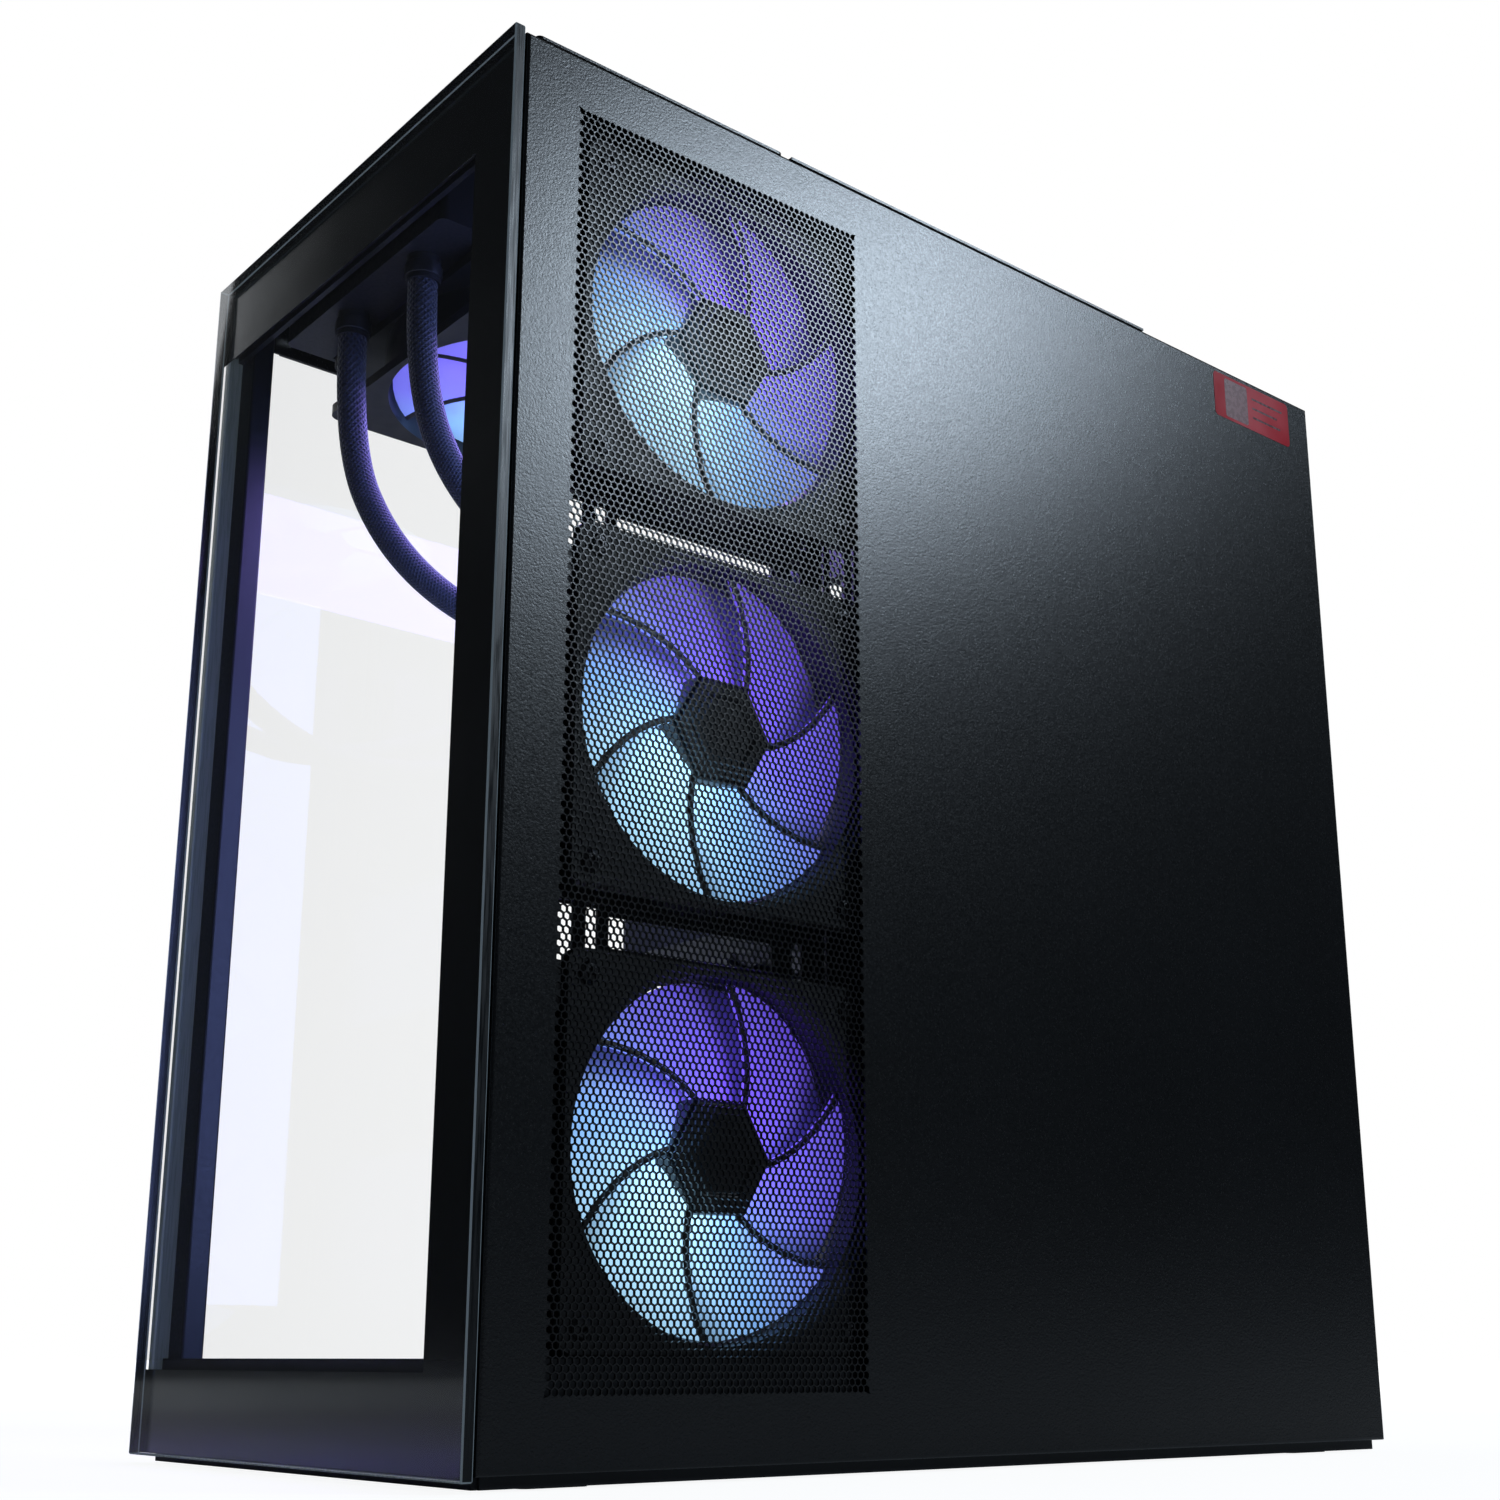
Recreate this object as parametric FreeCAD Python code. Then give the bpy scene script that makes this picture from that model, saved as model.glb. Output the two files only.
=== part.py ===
import FreeCAD
import Part
import math
import os

V = FreeCAD.Vector

# Desktop computer tower: a steel chassis with a glass front, a glass left side and a vented steel
# right side, holding a complete liquid-cooled computer.
# Case coordinates: x from the left glass to the right panel, y from the front glass back, z up from
# the lower edge of the front glass. The model is moved to its own frame when it is written.

# Overall sizes (mm)
CASE_W = 225.0          # outer face of the left glass to outer face of the right panel
CASE_H = 460.0          # height of the front glass
CASE_D = 433.0          # front glass face to the rear edges of the side panels
FLOOR_GAP = 3.0         # lower edge of the front glass above the floor
REAR_REACH = 7.0        # thumbscrew heads behind the side panels' rear edges

# Sheet, glass and clearances
GLASS_T = 4.0
SHEET = 1.0             # chassis steel
PANEL_T = 0.8           # right panel steel
PANEL_LIP = 4.0         # folded edge of the right panel
SEAM = 0.8              # front glass to the side panels' front edges
SIDE_DROP = 1.7         # side panels stop this far below the glass top
SIDE_LIFT = 1.5         # and this far above the glass bottom
GAP = 0.5               # between a removable part and the chassis
CARRIER_T = 2.5         # frame bonded behind the front glass
BAND_TOP = 33.5         # printed border of the front glass
BAND_BOTTOM = 29.0
BAND_RIGHT = 29.0
RAIL_T = 1.2            # mounting rails bonded to the left glass
PIN_R = 2.5             # snap pins of the glass and panel carriers
PIN_HOLE_GAP = 0.4
PIN_REACH = 4.5

# Chassis levels
FLOOR_TOP = 32.8        # upper face of the chassis floor
ROOF_DROP = 10.0        # from the top of the case to the under face of the roof sheet
FLANGE = 13.0           # chassis flanges that hang from the roof
PILLAR_W = 10.9
PILLAR_D = 8.5
PILLAR_WALL = 1.2

# Fans
FAN = 120.0
FAN_T = 25.0
FAN_FLANGE = 4.0
FAN_WALL = 2.4
TIP_GAP = 1.1
FAN_HOLE_IN = 7.5
FAN_HOLE_R = 2.15
HUB_R = 20.5            # to the corners of the six-sided hub
HUB_SIDES = 6
BLADE_SWEEP = 27.0      # degrees from root to tip
BLADE_CURVE = 0.4       # share of the sweep reached half way out
BLADE_SPACE = 3.0       # degrees between blades
BLADE_T = 1.8
AXLE_R = 2.0
AXLE_FIT = 0.05
FAN_SPACING = 20.0      # between the side fans
FAN_FROM_FRONT = 34.0
FAN_OFF_FLOOR = 1.2
PANEL_TO_FAN = 5.0      # room between the right panel's face and the side fans

# Vent field of the right panel
VENT_PITCH = 2.49
VENT_COLUMNS = 50
VENT_ROWS = 193
VENT_Y0 = 27.3
VENT_Z0 = 23.6
VENT_MARGIN = 1.6

# Liquid cooler
RAD_W = 120.0
RAD_L = 394.0
RAD_T = 27.0
RAD_X0 = 40.0
RAD_Y0 = 12.0
RAD_TANK = 20.0
HOSE_D = 11.0
FITTING_WALL = 0.8      # fittings outside the hose
PUMP_R = 31.0
PUMP_H = 52.0
CPU_Y_FROM_REAR = 111.2
CPU_Z_FROM_TOP = 90.0

# Motherboard, memory, graphics card
BOARD_L = 244.0
BOARD_T = 1.6
STANDOFF = 6.5
BOARD_TO_REAR = 10.0
BOARD_TO_ROOF = 15.0
BOARD_TO_SHROUD = 5.7
RAM_H = 32.0
RAM_L = 133.0
RAM_T = 6.0
RAM_PITCH = 9.4
RAM_COUNT = 4
SLOT_PITCH = 20.32
GPU_L = 268.0
GPU_W = 108.0
GPU_T = 58.0
GPU_SLOTS = 3           # expansion slots that the card takes
GPU_FAN_R = 43.0
GPU_WALL = 1.6

# Power supply
PSU_W = 150.0
PSU_H = 86.0
PSU_L = 140.0
PSU_WALL = 1.2
PSU_TO_SHROUD = 5.5     # from the supply's height above the floor to the shroud's upper face
PSU_FAN_R = 56.0

# Derived levels
PANEL_X0 = CASE_W - PANEL_T
TRAY_X1 = CASE_W - PANEL_TO_FAN - FAN_T
TRAY_X0 = TRAY_X1 - SHEET
SIDE_Y0 = GLASS_T + SEAM
SIDE_Z0 = SIDE_LIFT
SIDE_Z1 = CASE_H - SIDE_DROP
CHASSIS_X0 = GLASS_T + RAIL_T + GAP + 0.7
CHASSIS_X1 = CASE_W - PANEL_LIP - SHEET
FRONT_Y0 = GLASS_T + CARRIER_T + GAP
FRONT_Y1 = FRONT_Y0 + 2.0 * SHEET
REAR_Y1 = CASE_D - 0.8
REAR_Y0 = REAR_Y1 - SHEET
FLOOR_Z0 = FLOOR_TOP - SHEET
SKIRT_Z0 = 0.8 - FLOOR_GAP
ROOF_TOP = CASE_H - ROOF_DROP + SHEET
RAD_Z0 = CASE_H - ROOF_DROP - RAD_T
RAD_FAN_Z0 = RAD_Z0 - FAN_T
BOARD_X0 = TRAY_X0 - STANDOFF - BOARD_T
BOARD_X1 = TRAY_X0 - STANDOFF
BOARD_Y1 = REAR_Y0 - BOARD_TO_REAR
BOARD_Y0 = BOARD_Y1 - BOARD_L
BOARD_Z1 = CASE_H - ROOF_DROP - BOARD_TO_ROOF
BOARD_Z0 = FLOOR_TOP + PSU_H + PSU_TO_SHROUD + BOARD_TO_SHROUD
BOARD_H = BOARD_Z1 - BOARD_Z0
CPU_Y = REAR_Y0 - CPU_Y_FROM_REAR
CPU_Z = BOARD_Z1 - CPU_Z_FROM_TOP
TRAY_Y0 = BOARD_Y0 - 17.0
SHROUD_Z1 = FLOOR_TOP + PSU_H + PSU_TO_SHROUD
SHROUD_Z0 = SHROUD_Z1 - SHEET
PSU_X0 = TRAY_X0 - 2.0 - PSU_W
PSU_Y0 = REAR_Y0 - PSU_L
PSU_Z0 = FLOOR_TOP + 0.4
GPU_SLOT_Z = BOARD_Z1 - 187.0
GPU_X1 = BOARD_X0 - 12.0
GPU_Y0 = REAR_Y0 - 2.0 - GPU_L
GPU_Z1 = GPU_SLOT_Z - 1.0
FAN_DUCT_R = FAN / 2.0 - FAN_WALL
FAN_BLADE_R = FAN_DUCT_R - TIP_GAP
SIDE_FAN_Y = FAN_FROM_FRONT + FAN / 2.0
SIDE_FAN_Z = [FLOOR_TOP + FAN_OFF_FLOOR + FAN / 2.0 + k * (FAN + FAN_SPACING) for k in range(3)]
RAD_FAN_X = RAD_X0 + RAD_W / 2.0
RAD_FAN_Y = [RAD_Y0 + RAD_TANK + FAN / 2.0 + k * FAN for k in range(3)]
REAR_FAN_X = BOARD_X0 - 37.0 - FAN / 2.0
REAR_FAN_Z = RAD_FAN_Z0 - 3.0 - FAN / 2.0
STRIP_X0 = CASE_W - 37.0
STRIP_X1 = CASE_W - 0.6
STRIP_Y0 = 9.2
STRIP_Y1 = 116.0
CAP_Z0 = SIDE_Z1 + 0.3
CAP_Z1 = CAP_Z0 + 1.0
CONTROL_X = CASE_W - 20.0
POWER_Y = 26.0
POWER_R = 7.5
RESET_Y = 42.0
RESET_R = 2.6
BUTTON_GAP = 0.35
BUTTON_TRAVEL = 1.2
JACK_Y = 54.0
JACK_R = 3.6
USB_Y = (68.0, 84.0)
USB_L = 13.2
USB_W = 5.8
USBC_Y = 99.0
USBC_L = 9.2
USBC_W = 3.4
CHIN_X0 = STRIP_X0 + 3.0
CHIN_X1 = CHASSIS_X1 - SHEET - 0.4
ORIGIN = V(-CASE_W / 2.0, -(CASE_D + REAR_REACH) / 2.0, FLOOR_GAP)

X = V(1, 0, 0)
Y = V(0, 1, 0)
Z = V(0, 0, 1)


def slab(x0, x1, y0, y1, z0, z1):
    """Box between three pairs of levels."""
    return Part.makeBox(x1 - x0, y1 - y0, z1 - z0, V(x0, y0, z0))


def rod(radius, start, axis, length):
    """Cylinder from a point along an axis."""
    return Part.makeCylinder(radius, length, start, axis)


def fused(first, others):
    """One solid from touching pieces."""
    return first.multiFuse(others).removeSplitter()


def soft(shape, radius, keep):
    """Rounds the straight edges that the test picks out."""
    edges = [e for e in shape.Edges if keep(e)]
    return shape.makeFillet(radius, edges)


def along(axis):
    """Edge test: parallel to the axis."""
    def test(edge):
        direction = edge.Vertexes[-1].Point - edge.Vertexes[0].Point
        return direction.Length > 1e-6 and direction.cross(axis).Length < 1e-6 * direction.Length
    return test


def slots(count, pitch, first):
    """The same cutter repeated along a pitch vector."""
    cutters = []
    for k in range(count):
        cutter = first.copy()
        cutter.translate(pitch * k)
        cutters.append(cutter)
    return cutters


def save(node, shape):
    """Moves a finished piece into the model's frame and writes it."""
    shape = shape.copy()
    shape.translate(ORIGIN)
    solids = shape.Solids
    whole = solids[0] if len(solids) == 1 else Part.makeCompound(solids)
    whole.exportStep("parts/" + node + ".step")
    print(node, len(solids), round(sum(s.Volume for s in solids) / 1000.0, 2), whole.isValid())


# Fans ------------------------------------------------------------------------------------------

def polar(radius, degrees, z=0.0):
    angle = math.radians(degrees)
    return V(radius * math.cos(angle), radius * math.sin(angle), z)


def fan_frame(size, depth):
    """Square fan housing: two flanges, a duct, a four-arm spider and the fixed axle.
    The spider is at z = 0 and the open face at z = depth."""
    half = size / 2.0
    duct_r = half - FAN_WALL
    plate = soft(slab(-half, half, -half, half, 0, FAN_FLANGE), 5.0, along(Z))
    front = plate.copy()
    front.translate(V(0, 0, depth - FAN_FLANGE))
    wall = rod(half - 0.6, V(0, 0, 0), Z, depth)
    frame = fused(plate, [front, wall])
    frame = frame.cut(rod(duct_r, V(0, 0, -1), Z, depth + 2))
    inset = half - FAN_HOLE_IN
    corners = [V(sx * inset, sy * inset, -1) for sx in (-1, 1) for sy in (-1, 1)]
    frame = frame.cut(Part.makeCompound([rod(FAN_HOLE_R, c, Z, depth + 2) for c in corners]))
    hub = rod(HUB_R + 1.0, V(0, 0, 0), Z, 3.0)
    arms = [slab(HUB_R, duct_r + 1.0, -2.0, 2.0, 0, 3.0) for _ in range(4)]
    for k, arm in enumerate(arms):
        arm.rotate(V(0, 0, 0), Z, 45 + 90 * k)
    axle = rod(AXLE_R, V(0, 0, 2.0), Z, depth - 7.0)
    return fused(frame, arms + [hub, axle])


def blade(root_r, tip_r, share, sweep, z0, z1, thick):
    """One fan blade: a curved sector of the disc cut out of a tilted plate."""
    middle_r = (root_r + tip_r) / 2.0
    lead = Part.Arc(polar(root_r, 0), polar(middle_r, BLADE_CURVE * sweep), polar(tip_r, sweep))
    tip = Part.Arc(polar(tip_r, sweep), polar(tip_r, share / 2.0 + sweep), polar(tip_r, share + sweep))
    trail = Part.Arc(polar(tip_r, share + sweep), polar(middle_r, share + BLADE_CURVE * sweep),
                     polar(root_r, share))
    root = Part.LineSegment(polar(root_r, share), polar(root_r, 0))
    outline = Part.Wire([c.toShape() for c in (lead, tip, trail, root)])
    sector = Part.Face(outline).extrude(V(0, 0, z1 - z0))
    sector.translate(V(0, 0, z0))
    chord = math.radians(share) * tip_r
    pitch = math.degrees(math.atan((z1 - z0 - thick) / chord))
    plate = slab(-2 * tip_r, 2 * tip_r, -chord, chord, -thick / 2.0, thick / 2.0)
    plate.rotate(V(0, 0, 0), X, pitch)
    plate.rotate(V(0, 0, 0), Z, (share + sweep) / 2.0)
    plate.translate(V(0, 0, (z0 + z1) / 2.0))
    return sector.common(plate)


def fan_rotor(tip_r, hub_r, hub_sides, z0, z1, blades, axle_top):
    """Hub with a blind bearing bore and swept blades, turning about z. A hub with sides has a blade
    on each of them."""
    start = 180.0 / hub_sides if hub_sides else 0.0
    if hub_sides:
        corners = [polar(hub_r, start + 360.0 * k / hub_sides) for k in range(hub_sides + 1)]
        hub = Part.Face(Part.makePolygon(corners)).extrude(V(0, 0, z1 - z0))
    else:
        hub = rod(hub_r, V(0, 0, 0), Z, z1 - z0)
    hub.translate(V(0, 0, z0))
    share = 360.0 / blades
    first = blade(hub_r - 4.0, tip_r, share - BLADE_SPACE, BLADE_SWEEP, z0 + 1.0, z1 - 1.5, BLADE_T)
    ring = []
    for k in range(blades):
        copy = first.copy()
        copy.rotate(V(0, 0, 0), Z, start + k * share)
        ring.append(copy)
    bore = rod(AXLE_R + AXLE_FIT, V(0, 0, z0 - 1), Z, axle_top + 0.4 - z0 + 1)
    return fused(hub, ring).cut(bore)


def facing(shape, direction, place):
    """Turns a piece made along +z to face a direction and moves it to its place."""
    turned = shape.copy()
    turned.Placement = FreeCAD.Placement(place, FreeCAD.Rotation(Z, direction))
    return turned


CASE_FAN_FRAME = fan_frame(FAN, FAN_T)
CASE_FAN_ROTOR = fan_rotor(FAN_BLADE_R, HUB_R, HUB_SIDES, 4.0, FAN_T - 0.6, 6, FAN_T - 5.0)


def save_fan(prefix, suffix, direction, place):
    save(prefix + "_frame" + suffix, facing(CASE_FAN_FRAME, direction, place))
    save(prefix + "_rotor" + suffix, facing(CASE_FAN_ROTOR, direction, place))


# Chassis ---------------------------------------------------------------------------------------

PIN_YS = (60.0, CASE_D - 53.0)
RAIL_TOP_Z = CASE_H - ROOF_DROP - 6.0
RAIL_LOW_Z = FLOOR_Z0 / 2.0
FRONT_PINS = [(x, z) for x in (32.0, CASE_W - 16.0) for z in (RAIL_TOP_Z, RAIL_LOW_Z)]
SIDE_PINS = [(y, z) for y in PIN_YS for z in (RAIL_TOP_Z, RAIL_LOW_Z)]
HOLE_R = PIN_R + PIN_HOLE_GAP
FOOT_X = (12.0, CASE_W - 38.0)
FOOT_Y = (25.0, CASE_D - 48.0)
FOOT_W = 28.0
FOOT_L = 30.0
FOOT_PAD_T = 3.0
FILTER_X0 = PSU_X0 + 8.0
FILTER_X1 = PSU_X0 + PSU_W - 8.0
FILTER_Y0 = PSU_Y0 - 12.0
FILTER_Z0 = FLOOR_Z0 - 4.8
FILTER_T = 2.6


def side_pin_holes(x0, x1):
    return [rod(HOLE_R, V(x0 - 1, y, z), X, x1 - x0 + 2) for y, z in SIDE_PINS]


def base_pan():
    """Floor sheet over a hollow plinth, with the power supply's intake slots and filter rails."""
    floor = slab(CHASSIS_X0, CHASSIS_X1, FRONT_Y1, REAR_Y0, FLOOR_Z0, FLOOR_TOP)
    left = slab(CHASSIS_X0, CHASSIS_X0 + SHEET, FRONT_Y1, REAR_Y0, SKIRT_Z0, FLOOR_TOP)
    right = slab(CHASSIS_X1 - SHEET, CHASSIS_X1, FRONT_Y1, REAR_Y0, SKIRT_Z0, FLOOR_TOP)
    rails = []
    for x, side in ((FILTER_X0 - GAP, -1), (FILTER_X1 + GAP, 1)):
        lo, hi = sorted((x, x + side * SHEET))
        rails.append(slab(lo, hi, FILTER_Y0 - GAP, REAR_Y0, FILTER_Z0 - GAP - SHEET, FLOOR_TOP))
        lo, hi = sorted((x + side * SHEET, x - side * 5.0))
        rails.append(slab(lo, hi, FILTER_Y0 - GAP, REAR_Y0, FILTER_Z0 - GAP - SHEET, FILTER_Z0 - GAP))
    pan = fused(floor, [left, right] + rails)
    slot = slab(PSU_X0 + 18, PSU_X0 + PSU_W - 18, PSU_Y0 + 12, PSU_Y0 + 17, FLOOR_Z0 - 1, FLOOR_TOP + 1)
    cutters = slots(int((PSU_L - 24) // 10), V(0, 10, 0), slot)
    cutters += side_pin_holes(CHASSIS_X0, CHASSIS_X0 + SHEET)
    cutters += side_pin_holes(CHASSIS_X1 - SHEET, CHASSIS_X1)
    return pan.cut(Part.makeCompound(cutters))


def feet():
    blocks = []
    for x in FOOT_X:
        for y in FOOT_Y:
            block = slab(x, x + FOOT_W, y, y + FOOT_L, FOOT_PAD_T - FLOOR_GAP, FLOOR_Z0)
            blocks.append(soft(block, 4.0, along(Z)))
    return Part.makeCompound(blocks)


def foot_pads():
    pads = []
    for x in FOOT_X:
        for y in FOOT_Y:
            pad = slab(x + 3, x + FOOT_W - 3, y + 3, y + FOOT_L - 3, -FLOOR_GAP, FOOT_PAD_T - FLOOR_GAP)
            pads.append(soft(pad, 3.0, along(Z)))
    return Part.makeCompound(pads)


def front_frame():
    """Bars behind the printed border of the glass: top, bottom and right."""
    x0 = CHASSIS_X0 + SHEET
    x1 = CHASSIS_X1 - SHEET
    top = slab(x0, x1, FRONT_Y0, FRONT_Y1, CASE_H - BAND_TOP, CASE_H - ROOF_DROP)
    bottom = slab(x0, x1, FRONT_Y0, FRONT_Y1, SKIRT_Z0, FLOOR_TOP)
    right = slab(CASE_W - BAND_RIGHT, x1, FRONT_Y0, FRONT_Y1, SKIRT_Z0, CASE_H - ROOF_DROP)
    holes = [rod(HOLE_R, V(x, FRONT_Y0 - 1, z), Y, 4) for x, z in FRONT_PINS]
    return fused(top, [bottom, right]).cut(Part.makeCompound(holes))


def corner_pillar():
    """Folded box post in the front left corner."""
    x0 = CHASSIS_X0 + SHEET
    x1 = x0 + PILLAR_W
    y1 = FRONT_Y1 + PILLAR_D
    post = slab(x0, x1, FRONT_Y1, y1, FLOOR_TOP, CASE_H - ROOF_DROP)
    post = soft(post, 1.0, lambda e: along(Z)(e) and e.Vertexes[0].X > x1 - 0.1)
    wall = PILLAR_WALL
    return post.cut(slab(x0 + wall, x1 - wall, FRONT_Y1 + wall, y1 - wall, 0, CASE_H))


LIP_Y0 = STRIP_Y1 + 4.0
LIP_Y1 = 318.0
LIP_ABOVE = 0.4         # raised edge above the panel's top edge
CORNER_SLOT_PITCH = 10.8
CORNER_SLOT_X = (17.0, 22.0)
CORNER_SLOT_Y = (20.5, 28.0)
ROOF_SLOT_PITCH = 8.0
ROOF_SLOT_W = 4.0


def top_frame():
    """Roof sheet over the radiator, with its side flanges and a raised edge on the right."""
    flange_z = CASE_H - ROOF_DROP - FLANGE
    roof = slab(CHASSIS_X0, CHASSIS_X1, FRONT_Y1, REAR_Y0, CASE_H - ROOF_DROP, ROOF_TOP)
    left = slab(CHASSIS_X0, CHASSIS_X0 + SHEET, FRONT_Y1, REAR_Y0, flange_z, SIDE_Z1 - 1.3)
    right = slab(CHASSIS_X1 - SHEET, CHASSIS_X1, FRONT_Y1, REAR_Y0, flange_z, SIDE_Z1 - 1.3)
    lip_z = SIDE_Z1 + LIP_ABOVE
    riser = slab(CHASSIS_X1 - SHEET, CHASSIS_X1, LIP_Y0, LIP_Y1, flange_z, lip_z)
    lip = slab(CHASSIS_X1 - SHEET, CASE_W - 0.4, LIP_Y0, LIP_Y1, lip_z, lip_z + SHEET)
    frame = fused(roof, [left, right, riser, lip])
    z0 = CASE_H - ROOF_DROP - 1
    z1 = ROOF_TOP + 1
    slot = slab(RAD_X0 + 8, RAD_X0 + RAD_W - 8, RAD_Y0 + 28, RAD_Y0 + 28 + ROOF_SLOT_W, z0, z1)
    cutters = slots(int((RAD_L - 56) // ROOF_SLOT_PITCH), V(0, ROOF_SLOT_PITCH, 0), slot)
    cutters += slots(2, V(0, CORNER_SLOT_PITCH, 0), slab(*CORNER_SLOT_X, *CORNER_SLOT_Y, z0, z1))
    cutters.append(slab(CONTROL_X - 8, CONTROL_X + 6, STRIP_Y0 + 8, STRIP_Y1 - 8, z0, z1))
    cutters += side_pin_holes(CHASSIS_X0, CHASSIS_X0 + SHEET)
    cutters += side_pin_holes(CHASSIS_X1 - SHEET, CHASSIS_X1)
    return frame.cut(Part.makeCompound(cutters))


IO_X1 = TRAY_X0 - 2.0
IO_X0 = IO_X1 - 45.0
IO_Z0 = BOARD_Z1 - 160.0
IO_Z1 = BOARD_Z1 - 2.0
SLOT_TOP_Z = GPU_Z1 + 4.0
SLOT_COUNT = int((SLOT_TOP_Z - SHROUD_Z1) / SLOT_PITCH)
SLOT_X0 = BOARD_X0 - 112.0
SLOT_X1 = BOARD_X0 + 2.0
INLET_X = PSU_X0 + 26.0
INLET_Z = PSU_Z0 + 28.0
SWITCH_X = PSU_X0 + 60.0
GRILLE_PITCH = 8.0
GRILLE_SLOT_W = 4.4
SLOT_OPENING_H = 13.0


def rear_wall():
    """Rear sheet with the windows for the board's ports, the slots, the fan and the power supply."""
    wall = slab(CHASSIS_X0 + SHEET, CHASSIS_X1 - SHEET, REAR_Y0, REAR_Y1, FLOOR_TOP, CASE_H - ROOF_DROP)
    y0 = REAR_Y0 - 1
    y1 = REAR_Y1 + 1
    cutters = [slab(IO_X0, IO_X1, y0, y1, IO_Z0, IO_Z1)]
    cutters.append(slab(PSU_X0 + 5, PSU_X0 + PSU_W - 5, y0, y1, PSU_Z0 + 5, PSU_Z0 + PSU_H - 5))
    slot_z1 = SLOT_TOP_Z - 1.0
    slot = slab(SLOT_X0 + 8, SLOT_X1 - 2, y0, y1, slot_z1 - SLOT_OPENING_H, slot_z1)
    cutters += slots(SLOT_COUNT, V(0, 0, -SLOT_PITCH), slot)
    radius = FAN_DUCT_R - 4.0
    reach = int(radius // GRILLE_PITCH)
    for k in range(-reach, reach + 1):
        height = k * GRILLE_PITCH
        half = math.sqrt(radius * radius - height * height)
        z = REAR_FAN_Z + height - GRILLE_SLOT_W / 2.0
        cutters.append(slab(REAR_FAN_X - half, REAR_FAN_X + half, y0, y1, z, z + GRILLE_SLOT_W))
    return wall.cut(Part.makeCompound(cutters))


CABLE_SLOTS = ((0.18, 0.38), (0.46, 0.66), (0.74, 0.94))     # shares of the board's height
CPU_WINDOW_W = 80.0
CPU_WINDOW_H = 84.0


def motherboard_tray():
    """Upright sheet that carries the board, with cable slots and the window behind the processor."""
    tray = slab(TRAY_X0, TRAY_X1, TRAY_Y0, REAR_Y0, FLOOR_TOP, CASE_H - ROOF_DROP)
    x0 = TRAY_X0 - 1
    x1 = TRAY_X1 + 1
    y0 = TRAY_Y0 + 3.0
    half_w = CPU_WINDOW_W / 2.0
    half_h = CPU_WINDOW_H / 2.0
    cutters = [slab(x0, x1, CPU_Y - half_w, CPU_Y + half_w, CPU_Z - half_h, CPU_Z + half_h)]
    for low, high in CABLE_SLOTS:
        z0 = BOARD_Z0 + low * BOARD_H
        z1 = BOARD_Z0 + high * BOARD_H
        cutters.append(slab(x0, x1, y0, BOARD_Y0 - 2.0, z0, z1))
    return tray.cut(Part.makeCompound(cutters))


# Slots of the fan bracket between two fans: two ends along y from the fans' axis, two ends along z
# from half way between the fans
BRACKET_SLOTS = (
    (-28.0, 41.0, -3.0, 7.5),
    (-50.0, -42.0, -10.0, 9.5),
    (-37.0, -32.5, -4.0, 9.5),
    (50.0, 54.5, -5.0, 9.0),
)


def side_fan_bracket():
    """Sheet in the plane of the tray, with a round window for each side fan and slots between."""
    y0 = FRONT_Y1 + 1.0
    y1 = TRAY_Y0 - 1.0
    plate = slab(TRAY_X0, TRAY_X1, y0, y1, FLOOR_TOP, CASE_H - ROOF_DROP)
    x = TRAY_X0 - 1
    length = SHEET + 2
    cutters = []
    inset = FAN / 2.0 - FAN_HOLE_IN
    for z in SIDE_FAN_Z:
        cutters.append(rod(FAN_DUCT_R, V(x, SIDE_FAN_Y, z), X, length))
        for sy in (-1, 1):
            for sz in (-1, 1):
                cutters.append(rod(FAN_HOLE_R, V(x, SIDE_FAN_Y + sy * inset, z + sz * inset), X, length))
    for z in SIDE_FAN_Z[:2]:
        middle = z + (FAN + FAN_SPACING) / 2.0
        for near, far, low, high in BRACKET_SLOTS:
            y = SIDE_FAN_Y + near
            cutters.append(slab(x, x + length, y, SIDE_FAN_Y + far, middle + low, middle + high))
    return plate.cut(Part.makeCompound(cutters))


def psu_shroud():
    """Folded cover over the power supply, open at the back and towards the tray."""
    x0 = CHASSIS_X0 + SHEET
    y0 = TRAY_Y0 + 2.0
    top = slab(x0, TRAY_X0, y0, REAR_Y0, SHROUD_Z0, SHROUD_Z1)
    front = slab(x0, TRAY_X0, y0, y0 + SHEET, FLOOR_TOP, SHROUD_Z1)
    side = slab(x0, x0 + SHEET, y0, REAR_Y0, FLOOR_TOP, SHROUD_Z1)
    shroud = fused(top, [front, side])
    slot = slab(x0 + 30, TRAY_X0 - 60, y0 + 16, y0 + 20, SHROUD_Z0 - 1, SHROUD_Z1 + 1)
    return shroud.cut(Part.makeCompound(slots(12, V(0, 9, 0), slot)))


# Removable panels ------------------------------------------------------------------------------

def front_glass():
    glass = slab(0, CASE_W, 0, GLASS_T, 0, CASE_H)
    return soft(glass, 0.6, lambda e: not along(Y)(e))


def front_glass_carrier():
    """Bars bonded behind the printed border, with the snap pins that hold the glass."""
    x0 = GLASS_T + 3.0
    x1 = CASE_W - PANEL_LIP - 2.0
    y1 = GLASS_T + CARRIER_T
    top = slab(x0, x1, GLASS_T, y1, CASE_H - BAND_TOP + 2.0, CASE_H - 4.0)
    bottom = slab(x0, x1, GLASS_T, y1, 4.0, BAND_BOTTOM - 2.0)
    right = slab(CASE_W - BAND_RIGHT + 2.0, x1, GLASS_T, y1, 4.0, CASE_H - 4.0)
    pins = [rod(PIN_R, V(x, y1 - 1, z), Y, PIN_REACH + 1) for x, z in FRONT_PINS]
    return fused(top, [bottom, right] + pins)


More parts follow.
